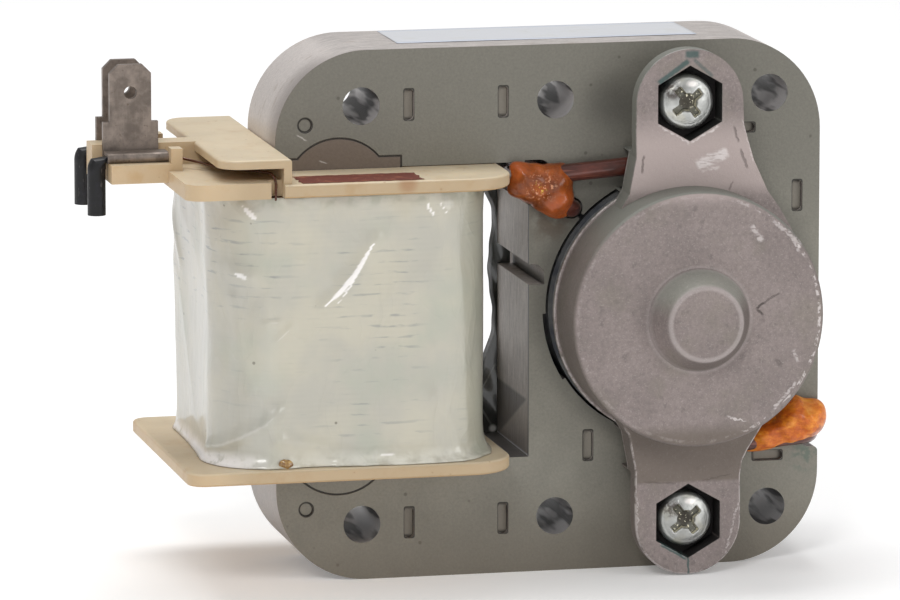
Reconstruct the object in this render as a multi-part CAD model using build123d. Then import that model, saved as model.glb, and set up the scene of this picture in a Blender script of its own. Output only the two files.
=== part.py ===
from build123d import *
import math
import os

# A shaded-pole fan motor. The rotor axis is the origin and runs along Y, at the middle of the
# laminated stack. X points right and Z up in the view on the closed front bearing bracket, and
# the shaft leaves towards +Y. All sizes are in millimetres.

# Laminated stack
core_width = 63.5
core_height = 60.7
core_depth = 15.5
core_corner_radius = 10.5
axis_to_right_edge = 17.0
lamination = 0.5
pole_left_extra = 0.15
arm_height = 13.35
bridge_thickness = 1.8
air_gap = 0.3
bore_relief_depth = 0.35
bore_relief_from = 182.0
bore_relief_to = 212.0

# Coil leg, pressed into the open side of the stack
leg_width = 14.5
leg_shoulder_rise = 1.2
leg_crown_radius = 6.1
leg_crown_rise = 2.2
leg_joint = 0.05

# Fixing holes through the stack
hole_radius = 2.15
hole_to_edge = 6.35
corner_hole_to_left_edge = 9.9
corner_hole_to_right_edge = 6.0
middle_hole_from_pole_edge = 3.08

# Rivet-like interlocks of the laminations and the round gauge marks
interlock_length = 3.6
interlock_width = 1.15
arm_interlock_from_leg = 0.9
arm_interlock_from_pole = 3.0
pole_interlocks = ((14.35, 12.07), (-10.17, -15.96))
flat_interlocks = ((11.02, -18.04), (7.53, 20.1))
gauge_mark_from_left = 3.44
gauge_mark_from_top = 8.35
gauge_mark_radius = 0.8
gauge_mark_depth = 0.2

# Notches in the wall between the window and the bore, repeated half a turn round the rotor
ring_notch_depth = 2.45
ring_notch_height = 5.2
ring_notch_below_bore_top = 3.2
ring_notch_corner = 1.2
ring_notch_lip = 0.6
wall_notch_depth = 1.8
wall_notch_low = 2.85
wall_notch_height = 2.4
wall_notch_corner = 1.3
punch_overrun = 0.5

# Shading rings of copper wire
shading_wire_radius = 1.05
shading_wire_lift = 0.1
shading_bend_radius = 1.35
shading_hole_clearance = 0.2
shading_slit = 0.6
ring_hole_beyond_bore = 1.55
large_ring_hole_angle = 99.9
small_ring_hole_angle = 136.5
large_ring_in_notch = 3.55
small_ring_in_notch = 1.25
varnish_thickness = 3.1
varnish_round = 1.0
varnish_corner = 0.8
varnish_outline = (
    (0.0, 1.1),
    (3.4, 1.1),
    (3.3, -3.15),
    (2.5, -4.65),
    (0.9, -4.25),
    (-1.9, -3.4),
)
varnish_end_low = -1.6
varnish_end_high = 1.3
upper_varnish_reach = 3.5
lower_varnish_reach = 2.0

# Bobbin
tunnel_clearance = 0.15
tunnel_wall = 1.2
flange_thickness = 1.5
flange_gap = 0.1
flange_beyond_wrap = 1.9
flange_beyond_leg = 12.0
flange_fill = 0.761
flange_right_corner = 5.5
flange_left_corner = 2.0
bobbin_corner = 1.2
flange_edge = 0.35

# Winding and its film wrap
winding_fill = 0.444
winding_shift = 0.35
winding_corner = 5.6
wrap_thickness = 0.4
coil_end_gap = 0.1

# Terminal head on the upper flange
deck_rise = 0.3
cover_rise = 2.8
cover_thickness = 1.0
cover_beyond_leg = 8.1
cover_short_of_flange = 0.7
cover_corner = 2.6
cover_edge = 0.35
head_wall_thickness = 0.9
lead_notch_width = 1.6
lead_notch_depth = 2.1
spine_beyond_leg = 19.8
spine_half_thickness = 1.7
shelf_beyond_leg = 18.5
shelf_length = 8.0
shelf_rise = 1.1
shelf_thickness = 2.1
shelf_half_depth = 6.8
post_beyond_leg = 11.7
post_thickness = 1.3
post_inner_y = 4.9

# Push-on tab terminals, folded from sheet
terminal_sheet = 0.4
tab_width = 4.75
blade_height = 4.3
tab_length = 6.5
tab_chamfer = 1.0
tab_hole_radius = 0.73
tab_hole_below_top = 3.2
tab_beyond_leg = 15.5
blade_width = 6.3
prong_width = 2.4
prong_length = 2.5
prong_tip = 0.5
hem_gap = 0.35
hem_outer_y = 5.5
hem_leaf_width = 2.0

# Black sleeves and enamelled leads held in the terminal hems
sleeve_radius = 1.03
sleeve_drop = 5.9
sleeve_y = 4.13
sleeve_beyond_hem = 1.1
sleeve_knee_beyond_hem = 0.85
sleeve_knee_drop = 0.1
sleeve_knee_slope = 53.0
sleeve_bend = 1.15
sleeve_tongue_width = 1.6
sleeve_tongue_length = 2.6
sleeve_fit = 0.02
lead_radius = 0.15
lead_below_flange = 0.4
lead_slack = 0.5
lead_over_notch = 0.9
lead_over_deck = ((1.9, 13.9, 0.85), (4.6, 10.0, 0.6), (7.4, 5.2, 0.9))
lead_end_y = 4.25
lead_in_hem = 2.4
lead_bend_share = 0.45

# Bearing brackets
tab_face_height = 6.4
drum_height = 10.9
boss_rise = 3.2
drum_short_of_bore = 0.6
drum_gap = 2.4
drum_lip = 0.35
drum_lip_height = 0.5
bore_clearance = 0.15
drum_edge = 0.5
boss_base_radius = 5.94
boss_top_radius = 4.33
bracket_tab_radius = 6.2
rear_bracket_tab_radius = 5.3
bracket_tab_thickness = 2.2
bracket_tab_from = 5.6
tab_seat_radius = 4.9
bracket_wall = 1.7
bracket_face_wall = 2.0
bracket_edge = 0.35
casting_overlap = 0.1
pocket_across_flats = 7.5
pocket_depth = 3.2
ring_relief_margin = 0.7
ring_relief_over = 0.4
ring_relief_rib = 1.6
upper_web_right_of_drum = ((-0.15, 21.9), (0.55, 38.0), (1.2, 48.1), (1.9, 56.5))
upper_web_by_tab = ((7.5, -6.7), (6.8, -4.4), (6.3, -2.6), (6.2, 0.0))
lower_web_right_of_drum = ((-0.15, 21.9), (0.5, 38.0), (1.0, 48.1), (1.3, 56.5))
lower_web_by_tab = ((7.0, -7.9), (6.4, -6.7), (6.15, -5.0), (6.2, 0.0))
web_left_by_tab = ((-6.2, 0.0), (-6.25, -3.0), (-6.2, -6.0))
web_left_of_drum = ((0.87, 116.9), (-0.88, 133.2), (-1.57, 162.1))

# Self-aligning bearings
bush_radius = 4.6
bush_length = 6.4
bush_below_drum_top = 2.3
bush_seat_clearance = 0.02
housing_wall = 1.5
felt_width = 1.8
housing_below_bush = 4.0
felt_above_bush = 1.0
felt_clearance = 0.1
retainer_thickness = 0.4
retainer_below_bush = 3.4
retainer_fingers = 6
retainer_slot = 0.9
retainer_slot_share = 0.6

# Shaft and running fit
shaft_radius = 1.5875
running_clearance = 0.02
shaft_front_gap = 0.5
shaft_free_length = 26.0
shaft_chamfer = 0.4
shaft_groove_depth = 0.2
shaft_groove_width = 0.6
boss_hole_clearance = 0.6

# Rotor
bar_count = 17
bar_radius = 0.9
bar_depth = 0.7
bar_skew = 15.0
end_ring_thickness = 1.9
end_ring_width = 5.0
end_ring_step = 0.5
collar_wall = 1.4
washer_wall = 1.6
washer_thickness = 0.7
thrust_gap = 0.3

# Through screws and nuts
screw_radius = 1.95
screw_head_radius = 3.15
screw_head_height = 2.5
screw_dome = 0.5
screw_cross_length = 4.0
screw_cross_width = 0.85
screw_cross_depth = 1.3
screw_cross_turn = 38.0
screw_beyond_nut = 0.9
nut_across_flats = 7.0
nut_thickness = 3.2
nut_bore_radius = 2.0

# Places worked out from the sizes above
face_y = core_depth / 2
core_right = axis_to_right_edge
core_left = core_right - core_width
core_center_x = (core_left + core_right) / 2
leg_right = core_left + leg_width
leg_center_x = (core_left + leg_right) / 2
window_height = core_height - 2 * arm_height
window_right = -axis_to_right_edge - pole_left_extra
window_width = window_right - leg_right
bore_radius = axis_to_right_edge - bridge_thickness
window_center_x = (leg_right + window_right) / 2
leg_shoulder_height = window_height + 2 * leg_shoulder_rise
crown_center_z = leg_shoulder_height / 2 + leg_crown_rise - leg_crown_radius
hole_z = core_height / 2 - hole_to_edge
right_hole_x = core_right - corner_hole_to_right_edge
left_hole_x = core_left + corner_hole_to_left_edge
middle_hole_x = window_right + middle_hole_from_pole_edge
ring_notch_low = bore_radius - ring_notch_below_bore_top
large_ring_outer_z = ring_notch_low + large_ring_in_notch
small_ring_outer_z = ring_notch_low + small_ring_in_notch
ring_face_y = face_y + shading_wire_lift + shading_wire_radius
winding_build = winding_fill * window_width
wrap_half_depth = face_y + tunnel_clearance + tunnel_wall + winding_build + wrap_thickness
flange_half_depth = wrap_half_depth + flange_beyond_wrap
flange_left = core_left - flange_beyond_leg
flange_right = leg_right + flange_fill * window_width
flange_top = window_height / 2 - flange_gap
flange_inner = flange_top - flange_thickness
coil_half_height = flange_inner - coil_end_gap
head_right = core_left - leg_joint
head_wall_left = head_right - head_wall_thickness
deck_top = flange_top + deck_rise
cover_top = flange_top + cover_rise
shelf_top = flange_top + shelf_rise
shelf_bottom = shelf_top - shelf_thickness
shelf_left = core_left - shelf_beyond_leg
post_left = core_left - post_beyond_leg
tab_center_x = core_left - tab_beyond_leg
tab_bottom = shelf_top + blade_height
tab_top = tab_bottom + tab_length
hem_left = tab_center_x - blade_width / 2
blade_thickness = 2 * terminal_sheet
hem_height = 2 * terminal_sheet + hem_gap
hem_middle_z = shelf_top + hem_height / 2
drum_radius = bore_radius - drum_short_of_bore
boss_height = drum_height + boss_rise
bush_center = drum_height - bush_below_drum_top
bush_inner_height = bush_center - bush_length / 2
housing_bore = bush_radius + felt_width
housing_start = bush_center - housing_below_bush
retainer_height = bush_center - retainer_below_bush
boss_hole_radius = shaft_radius + boss_hole_clearance
rotor_radius = bore_radius - air_gap
half_turn = Rot(0, 180, 0)
front_seat = Plane(origin=(0, -face_y, 0), x_dir=(1, 0, 0), z_dir=(0, -1, 0))
to_rear = Rot(180, 0, 0)


def at_angle(distance, angle):
    """A point in the front view, at a distance and an angle from the rotor axis."""
    turn = math.radians(angle)
    return (distance * math.cos(turn), distance * math.sin(turn))


large_ring_hole = at_angle(bore_radius + ring_hole_beyond_bore, large_ring_hole_angle)
small_ring_hole = at_angle(bore_radius + ring_hole_beyond_bore, small_ring_hole_angle)


def front_view(y):
    """A plane across the shaft at y, with X to the right and Z up."""
    return Plane(origin=(0, y, 0), x_dir=(1, 0, 0), z_dir=(0, -1, 0))


def slab(outline, y_front, y_rear):
    """An outline drawn in the front view, given thickness from y_front back to y_rear."""
    return extrude(front_view(y_rear) * outline, amount=y_rear - y_front, dir=(0, -1, 0))


def block(x, y, z):
    """A block from pairs of end coordinates, in either order."""
    center = Pos((x[0] + x[1]) / 2, (y[0] + y[1]) / 2, (z[0] + z[1]) / 2)
    return center * Box(abs(x[1] - x[0]), abs(y[1] - y[0]), abs(z[1] - z[0]))


def mirrored_in_y(shape):
    """The rear twin of a piece on the front of the motor."""
    return mirror(shape, about=Plane.XZ)


def hexagon(across_flats):
    """A hexagon with a point at the top."""
    return RegularPolygon(across_flats / math.sqrt(3), 6, rotation=30)


# Laminated core


def notch(low, height, depth, corner):
    """A notch in the window's right wall with a flat floor and a round inner top corner."""
    outline = Rectangle(depth + punch_overrun, height)
    top_right = outline.vertices().sort_by(lambda v: v.X + v.Y)[-1]
    outline = fillet(top_right, corner)
    return Pos(window_right + (depth - punch_overrun) / 2, low + height / 2) * outline


def ring_slot(center):
    """A round hole for the inner leg of a shading ring, open to the bore through a slit."""
    x, z = center
    start, end = bore_radius - punch_overrun, math.hypot(x, z)
    hole = Pos(x, z) * Circle(shading_wire_radius + shading_hole_clearance)
    slit = Pos((start + end) / 2, 0) * Rectangle(end - start, shading_slit)
    return hole + Rot(0, 0, math.degrees(math.atan2(z, x))) * slit


def bore_relief():
    """The step that widens the air gap at a pole's leading tip."""
    radius = bore_radius + bore_relief_depth
    reach = 2 * radius
    wedge = Polygon(
        (0, 0), at_angle(reach, bore_relief_from), at_angle(reach, bore_relief_to), align=None
    )
    return Circle(radius) & wedge


def pole_cuts():
    """What is punched on the window side of the bore."""
    cuts = notch(ring_notch_low, ring_notch_height, ring_notch_depth, ring_notch_corner)
    cuts += notch(wall_notch_low, wall_notch_height, wall_notch_depth, wall_notch_corner)
    cuts += ring_slot(large_ring_hole)
    cuts += ring_slot(small_ring_hole)
    return cuts + bore_relief()


def leg_outline(gap):
    """The coil leg's outline, with crowned ends, grown by a gap for its socket."""
    outline = Pos(leg_center_x, 0) * Rectangle(leg_width + 2 * gap, leg_shoulder_height + 2 * gap)
    for side in (1, -1):
        outline += Pos(leg_center_x, side * crown_center_z) * Circle(leg_crown_radius + gap)
    return outline


def core_outline():
    outline = Pos(core_center_x, 0) * RectangleRounded(core_width, core_height, core_corner_radius)
    outline -= Pos(window_center_x, 0) * Rectangle(window_width, window_height)
    outline -= leg_outline(leg_joint)
    outline -= Circle(bore_radius)
    cuts = pole_cuts()
    outline -= cuts
    outline -= Rot(0, 0, 180) * cuts
    for x in (left_hole_x, middle_hole_x, right_hole_x, 0):
        for z in (hole_z, -hole_z):
            outline -= Pos(x, z) * Circle(hole_radius)
    lip_z = -ring_notch_low - ring_notch_height
    lip = outline.vertices().sort_by(lambda v: abs(v.X - core_right) + abs(v.Y - lip_z))[0]
    return fillet(lip, ring_notch_lip)


def interlocks():
    """The interlock recesses of one face, in the front view."""
    slot = SlotOverall(interlock_length, interlock_width)
    arm_x = (leg_right + arm_interlock_from_leg, window_right - arm_interlock_from_pole)
    places = [(x, side * hole_z) for x in arm_x for side in (1, -1)]
    places += list(pole_interlocks)
    marks = [Pos(x, z) * Rot(0, 0, 90) * slot for x, z in places]
    return marks + [Pos(x, z) * slot for x, z in flat_interlocks]


def main_core():
    core = slab(core_outline(), -face_y, face_y)
    for mark in interlocks():
        core -= slab(mark, -face_y, -face_y + lamination)
        core -= slab(mark, face_y - lamination, face_y)
    mark_z = core_height / 2 - gauge_mark_from_top
    for side in (1, -1):
        mark = Pos(core_left + gauge_mark_from_left, side * mark_z) * Circle(gauge_mark_radius)
        core -= slab(mark, -face_y, -face_y + gauge_mark_depth)
    return core


def coil_core():
    return slab(leg_outline(0), -face_y, face_y)


# Coil


def tunnel():
    """A plan of the bobbin's square tunnel round the leg."""
    width = leg_width + 2 * tunnel_clearance
    return Pos(leg_center_x, 0) * Rectangle(width, core_depth + 2 * tunnel_clearance)


def tunnel_outside():
    """A plan of the bobbin's tube, on which the winding lies."""
    width = leg_width + 2 * (tunnel_clearance + tunnel_wall)
    depth = core_depth + 2 * (tunnel_clearance + tunnel_wall)
    return Pos(leg_center_x, 0) * RectangleRounded(width, depth, bobbin_corner)


def coil_plan(grow):
    """A plan of the winding's outside, grown by the wrap."""
    width = leg_width + 2 * (tunnel_clearance + tunnel_wall + winding_build + grow)
    depth = core_depth + 2 * (tunnel_clearance + tunnel_wall + winding_build + grow)
    return Pos(leg_center_x + winding_shift, 0) * RectangleRounded(width, depth, winding_corner + grow)


def raised(plan, low, high):
    """A plan given height from low to high."""
    return extrude(Pos(0, 0, low) * plan, amount=high - low)


def winding():
    body = raised(coil_plan(0), -coil_half_height, coil_half_height)
    return body - raised(tunnel_outside(), -coil_half_height, coil_half_height)


def coil_wrap():
    body = raised(coil_plan(wrap_thickness), -coil_half_height, coil_half_height)
    return body - raised(coil_plan(0), -coil_half_height, coil_half_height)


def flange(low, high):
    width = flange_right - flange_left
    plan = Rectangle(width, 2 * flange_half_depth)
    plan = fillet(plan.vertices().group_by(Axis.X)[-1], flange_right_corner)
    plan = fillet(plan.vertices().group_by(Axis.X)[0], flange_left_corner)
    plate = raised(Pos((flange_left + flange_right) / 2, 0) * plan, low, high)
    ends = plate.edges().group_by(Axis.Z)
    return fillet(ends[0] + ends[-1], flange_edge)


def terminal_head():
    """Deck, cover, spine, shelf and posts on the left of the upper flange."""
    cover_half_depth = flange_half_depth - cover_short_of_flange
    cover_depth = (-cover_half_depth, cover_half_depth)
    spine_depth = (-spine_half_thickness, spine_half_thickness)
    shelf_depth = (-shelf_half_depth, shelf_half_depth)
    flange_depth = (-flange_half_depth, flange_half_depth)
    head = block((flange_left, head_wall_left), flange_depth, (flange_inner, deck_top))
    head = fillet(head.edges().filter_by(Axis.Z).group_by(Axis.X)[0], flange_left_corner)
    cover_left = core_left - cover_beyond_leg
    cover = block((cover_left, head_right), cover_depth, (cover_top - cover_thickness, cover_top))
    cover = fillet(cover.edges().filter_by(Axis.Z).group_by(Axis.X)[0], cover_corner)
    cover += block((head_wall_left, head_right), cover_depth, (flange_inner, cover_top))
    head += fillet(cover.faces().sort_by(Axis.Z)[-1].edges(), cover_edge)
    head += block((core_left - spine_beyond_leg, head_wall_left), spine_depth, (shelf_bottom, cover_top))
    head += block((shelf_left, shelf_left + shelf_length), shelf_depth, (shelf_bottom, shelf_top))
    post_x = (post_left, post_left + post_thickness)
    slot_x = (tab_center_x - prong_width / 2 - leg_joint, tab_center_x + prong_width / 2 + leg_joint)
    slot_outer_y = spine_half_thickness + blade_thickness + leg_joint
    for side in (1, -1):
        post_y = (side * post_inner_y, side * shelf_half_depth)
        head += block(post_x, post_y, (shelf_bottom, cover_top))
        slot_y = (side * spine_half_thickness, side * slot_outer_y)
        head -= block(slot_x, slot_y, (shelf_bottom, shelf_top))
    return head


def bobbin():
    """Tube and flanges, with the terminal head and the notches that let the leads up."""
    body = raised(tunnel_outside(), -flange_top, flange_top)
    body += flange(-flange_top, -flange_inner)
    body += flange(flange_inner, flange_top)
    body += terminal_head()
    notch_x = (head_wall_left - lead_notch_width, head_wall_left)
    for side in (1, -1):
        notch_y = (side * flange_half_depth, side * (flange_half_depth - lead_notch_depth))
        body -= block(notch_x, notch_y, (flange_inner, deck_top))
    return body - raised(tunnel(), -flange_top, flange_top)


# Terminals, sleeves and leads


def terminal():
    """The front terminal: folded blade, locking prong and a hem that grips the wires."""
    half_blade, half_tab, half_prong = blade_width / 2, tab_width / 2, prong_width / 2
    prong_bottom = shelf_top - prong_length
    right_side = [
        (half_prong - prong_tip, prong_bottom),
        (half_prong, prong_bottom + prong_tip),
        (half_prong, shelf_top),
        (half_blade, shelf_top),
        (half_blade, tab_bottom),
        (half_tab, tab_bottom),
        (half_tab, tab_top - tab_chamfer),
        (half_tab - tab_chamfer, tab_top),
    ]
    left_side = [(-x, z) for x, z in reversed(right_side)]
    outline = Pos(tab_center_x, 0) * Polygon(*right_side, *left_side, align=None)
    outline -= Pos(tab_center_x, tab_top - tab_hole_below_top) * Circle(tab_hole_radius)
    inner = -spine_half_thickness
    blade = slab(outline, inner - blade_thickness, inner)
    return blade + hem(inner - blade_thickness)


def hem(blade_face):
    """The foot, carried outwards and folded back over the wires."""
    radius = hem_height / 2
    fold_y = -hem_outer_y + radius
    foot = block((hem_left, post_left), (fold_y, blade_face), (shelf_top, shelf_top + terminal_sheet))
    hem_top = shelf_top + hem_height
    leaf = block(
        (hem_left, post_left), (fold_y, fold_y + hem_leaf_width), (hem_top - terminal_sheet, hem_top)
    )
    fold = Circle(radius) - Circle(hem_gap / 2)
    fold -= Pos(radius, 0) * Rectangle(2 * radius, 2 * radius)
    side = Plane(origin=(hem_left, fold_y, hem_middle_z), x_dir=(0, 1, 0), z_dir=(1, 0, 0))
    return foot + leaf + extrude(side * fold, amount=post_left - hem_left, dir=(1, 0, 0))


def sleeve():
    """The front sleeve: a flattened end in the hem, then a round tail that bends down."""
    thickness = hem_gap - 2 * sleeve_fit
    tongue = Pos(hem_left + sleeve_tongue_length / 2, -sleeve_y, hem_middle_z) * Box(
        sleeve_tongue_length, sleeve_tongue_width, thickness
    )
    mouth = Plane(origin=(hem_left, -sleeve_y, hem_middle_z), x_dir=(0, 1, 0), z_dir=(-1, 0, 0))
    knee_x, knee_z = hem_left - sleeve_knee_beyond_hem, shelf_top - sleeve_knee_drop
    tail_x = hem_left - sleeve_beyond_hem
    drop = (knee_x - tail_x) * math.tan(math.radians(sleeve_knee_slope))
    path = FilletPolyline(
        (knee_x, -sleeve_y, knee_z),
        (tail_x, -sleeve_y, knee_z - drop),
        (tail_x, -sleeve_y, shelf_top - sleeve_drop),
        radius=sleeve_bend,
    )
    knee = Plane(origin=path @ 0, x_dir=(0, 1, 0), z_dir=path % 0)
    tail = sweep(knee * Circle(sleeve_radius), path=path)
    neck = loft([mouth * Rectangle(sleeve_tongue_width, thickness), knee * Circle(sleeve_radius)])
    return tongue + neck + tail


def lead_wire():
    """The front enamelled lead: up through the flange's notch and along to the hem."""
    notch_x = head_wall_left - lead_notch_width / 2
    start_y = -(wrap_half_depth + 2 * lead_radius)
    points = [
        (notch_x, start_y, flange_inner - lead_below_flange),
        (notch_x, start_y - lead_slack, deck_top + lead_over_notch),
    ]
    for left, y, up in lead_over_deck:
        points.append((notch_x - left, -y, deck_top + up))
    points += [
        (post_left + lead_slack, -lead_end_y, hem_middle_z),
        (post_left - lead_in_hem, -lead_end_y + lead_radius, hem_middle_z),
    ]
    path = FilletPolyline(*points, radius=bend_radii(points))
    return sweep(Plane(origin=path @ 0, z_dir=path % 0) * Circle(lead_radius), path=path)


def bend_radii(points):
    """For each corner of a route, the largest arc that its shorter run allows."""
    radii = []
    for before, corner, after in zip(points, points[1:], points[2:]):
        run_in = Vector(*corner) - Vector(*before)
        run_out = Vector(*after) - Vector(*corner)
        turn = math.radians(run_in.get_angle(run_out))
        radii.append(lead_bend_share * min(run_in.length, run_out.length) / math.tan(turn / 2))
    return radii


# Shading rings and their varnished joints


def shading_ring(outer_z, hole):
    """A closed ring of round wire through the notch and a slot of the pole."""
    outer_x = window_right + ring_notch_depth / 2
    inner_x, inner_z = hole
    corners = [
        (outer_x, -ring_face_y, outer_z),
        (outer_x, ring_face_y, outer_z),
        (inner_x, ring_face_y, inner_z),
        (inner_x, -ring_face_y, inner_z),
    ]
    path = FilletPolyline(*corners, radius=shading_bend_radius, close=True)
    return sweep(Plane(origin=path @ 0, z_dir=path % 0) * Circle(shading_wire_radius), path=path)


def joint_varnish(rings, reach):
    """A run of varnish over the welded ends of both rings, out to a reach left of the notch."""
    end = ((-reach, varnish_end_low), (-reach, varnish_end_high))
    outline = Pos(window_right + ring_notch_depth / 2, large_ring_outer_z) * Polygon(
        *end, *varnish_outline, align=None
    )
    outline = fillet(outline.vertices(), varnish_corner)
    body = slab(outline, -face_y - varnish_thickness, -face_y)
    body = fillet(body.faces().sort_by(Axis.Y)[0].edges(), varnish_round)
    for ring in rings:
        body -= ring
    return body


# Bearing brackets


def web_half(right_of_drum, by_tab, tab_radius):
    """One web from the drum to its tab, drawn upwards from the rotor axis."""
    widening = tab_radius / bracket_tab_radius
    right = [at_angle(drum_radius + beyond, angle) for beyond, angle in right_of_drum]
    left = [at_angle(drum_radius + beyond, angle) for beyond, angle in web_left_of_drum]
    tab = [(x * widening, hole_z + z) for x, z in by_tab + web_left_by_tab]
    return Polygon((0, 0), *right, *tab, *left, align=None)


def web_outline(tab_radius):
    """Both webs from the drum to the tabs, wider on the right."""
    upper = web_half(upper_web_right_of_drum, upper_web_by_tab, tab_radius)
    lower = web_half(lower_web_right_of_drum, lower_web_by_tab, tab_radius)
    return upper + mirror(lower, about=Plane.XZ)


def tab_undercut():
    """The room under the upper tab's plate, round its seat on the core."""
    low = hole_z - bracket_tab_from
    reach = 2 * bracket_tab_radius
    room = Pos(0, low + reach / 2) * Rectangle(2 * reach, reach)
    room -= Pos(0, hole_z) * Circle(tab_seat_radius)
    return extrude(room, amount=tab_face_height - bracket_tab_thickness)


def bracket_body(tab_radius):
    """The outside of the casting, drawn on the core's face with its height upwards."""
    plate = web_outline(tab_radius)
    for side in (1, -1):
        plate += Pos(0, side * hole_z) * Circle(tab_radius)
    plate = extrude(plate, amount=tab_face_height)
    rim = plate.faces().sort_by(Axis.Z)[-1].edges()
    plate = fillet(rim, bracket_edge)
    drum = extrude(Circle(drum_radius), amount=drum_height)
    drum = fillet(drum.edges().sort_by(Axis.Z)[-1], drum_edge)
    lip = extrude(Circle(drum_radius + drum_lip), amount=drum_gap + drum_lip_height)
    lip = fillet(lip.edges().sort_by(Axis.Z)[-1], drum_lip / 2)
    boss = Pos(0, 0, (drum_height + boss_height) / 2) * Cone(
        boss_base_radius, boss_top_radius, boss_height - drum_height
    )
    boss = fillet(boss.edges().sort_by(Axis.Z)[-1], bracket_edge)
    return plate + drum + lip + boss


def bracket(tab_radius, hole_through_boss):
    """A die-cast bracket with its bearing housing, in its own frame on the core's face."""
    body = bracket_body(tab_radius)
    inner_radius = drum_radius - bracket_wall
    ceiling = drum_height - bracket_face_wall
    body -= extrude(Circle(inner_radius), amount=ceiling)
    body -= extrude(Circle(bore_radius + bore_clearance), amount=drum_gap)
    housing = Circle(housing_bore + housing_wall) - Circle(housing_bore)
    body += Pos(0, 0, housing_start) * extrude(housing, amount=ceiling - housing_start + casting_overlap)
    felt_room = bush_center + felt_above_bush - housing_start
    body -= Pos(0, 0, housing_start) * extrude(Circle(housing_bore), amount=felt_room)
    body -= Pos(0, 0, bush_center) * Sphere(bush_radius + bush_seat_clearance)
    end_room = bush_length / 2 + shaft_front_gap
    hole_length = boss_height if hole_through_boss else end_room
    body -= Pos(0, 0, bush_center) * extrude(Circle(boss_hole_radius), amount=hole_length)
    ring_ends = (large_ring_outer_z, large_ring_hole[1])
    relief_low = min(ring_ends) - shading_wire_radius - ring_relief_margin
    relief_high = max(ring_ends) + shading_wire_radius + ring_relief_margin
    relief_height = shading_wire_lift + 2 * shading_wire_radius + ring_relief_over
    undercut = tab_undercut()
    for side in (1, -1):
        body -= undercut if side == 1 else mirror(undercut, about=Plane.XZ)
        body -= Pos(0, side * hole_z, 0) * extrude(Circle(hole_radius), amount=tab_face_height)
        pocket = Pos(0, side * hole_z, tab_face_height - pocket_depth) * hexagon(pocket_across_flats)
        body -= extrude(pocket, amount=pocket_depth)
        for hand in (1, -1):
            relief_x = (hand * ring_relief_rib / 2, hand * drum_radius)
            relief_y = (side * relief_low, side * relief_high)
            body -= block(relief_x, relief_y, (0, relief_height))
    return body


def seated(piece):
    """A bracket piece moved from its own frame to the front of the core."""
    return front_seat * piece


# Bearings


def bush():
    """A barrel-shaped sintered bush, bored for the shaft."""
    body = Sphere(bush_radius) & Box(4 * bush_radius, 4 * bush_radius, bush_length)
    body -= Cylinder(shaft_radius + running_clearance, 2 * bush_length)
    return Pos(0, 0, bush_center) * body


def felt():
    """The oil felt between the bush and the housing."""
    low = retainer_height + retainer_thickness + felt_clearance
    ring = Circle(housing_bore - felt_clearance) - Circle(bush_radius + felt_clearance)
    return Pos(0, 0, low) * extrude(ring, amount=bush_center + felt_above_bush - felt_clearance - low)


def retainer():
    """The slotted spring disc that holds the bush against its seat."""
    ball_at_disc = math.sqrt(bush_radius**2 - (bush_center - retainer_height - retainer_thickness) ** 2)
    hole = ball_at_disc + felt_clearance
    disc = Circle(housing_bore - bush_seat_clearance) - Circle(hole)
    slot_end = hole + retainer_slot_share * (housing_bore - hole)
    for i in range(retainer_fingers):
        slot = Pos(slot_end / 2, 0) * Rectangle(slot_end, retainer_slot)
        disc -= Rot(0, 0, i * 360 / retainer_fingers) * slot
    return Pos(0, 0, retainer_height) * extrude(disc, amount=retainer_thickness)


# Rotor


def rotor_bars():
    """Skewed bars between the end rings, near the rim of the rotor."""
    pitch_radius = rotor_radius - bar_depth - bar_radius
    reach = face_y + end_ring_thickness / 2
    bars = []
    for i in range(bar_count):
        start, end = (math.radians(i * 360 / bar_count + side * bar_skew / 2) for side in (-1, 1))
        tail = Vector(pitch_radius * math.cos(start), -reach, pitch_radius * math.sin(start))
        tip = Vector(pitch_radius * math.cos(end), reach, pitch_radius * math.sin(end))
        bar = extrude(Plane(origin=tail, z_dir=tip - tail) * Circle(bar_radius), amount=(tip - tail).length)
        bars.append(bar)
    return bars


def rotor_core(bars):
    core = slab(Circle(rotor_radius) - Circle(shaft_radius), -face_y, face_y)
    for bar in bars:
        core -= bar
    return core


def rotor_cage(bars):
    outer = rotor_radius - end_ring_step
    ring = Circle(outer) - Circle(outer - end_ring_width)
    cage = slab(ring, -face_y - end_ring_thickness, -face_y)
    cage += slab(ring, face_y, face_y + end_ring_thickness)
    for bar in bars:
        cage += bar
    return cage


def collar():
    """The front spacer between the rotor and its thrust washer."""
    length = bush_inner_height - thrust_gap - washer_thickness
    return slab(Circle(shaft_radius + collar_wall) - Circle(shaft_radius), -face_y - length, -face_y)


def thrust_washer():
    near = face_y + bush_inner_height - thrust_gap - washer_thickness
    return slab(Circle(shaft_radius + washer_wall) - Circle(shaft_radius), -near - washer_thickness, -near)


def shaft():
    front = -face_y - bush_center - bush_length / 2
    boss_end = face_y + boss_height
    rear = boss_end + shaft_free_length
    rod = slab(Circle(shaft_radius), front, rear)
    rod = chamfer(rod.edges().filter_by(GeomType.CIRCLE), shaft_chamfer)
    groove = Circle(shaft_radius) - Circle(shaft_radius - shaft_groove_depth)
    return rod - slab(groove, boss_end, boss_end + shaft_groove_width)


# Screws and nuts


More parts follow.
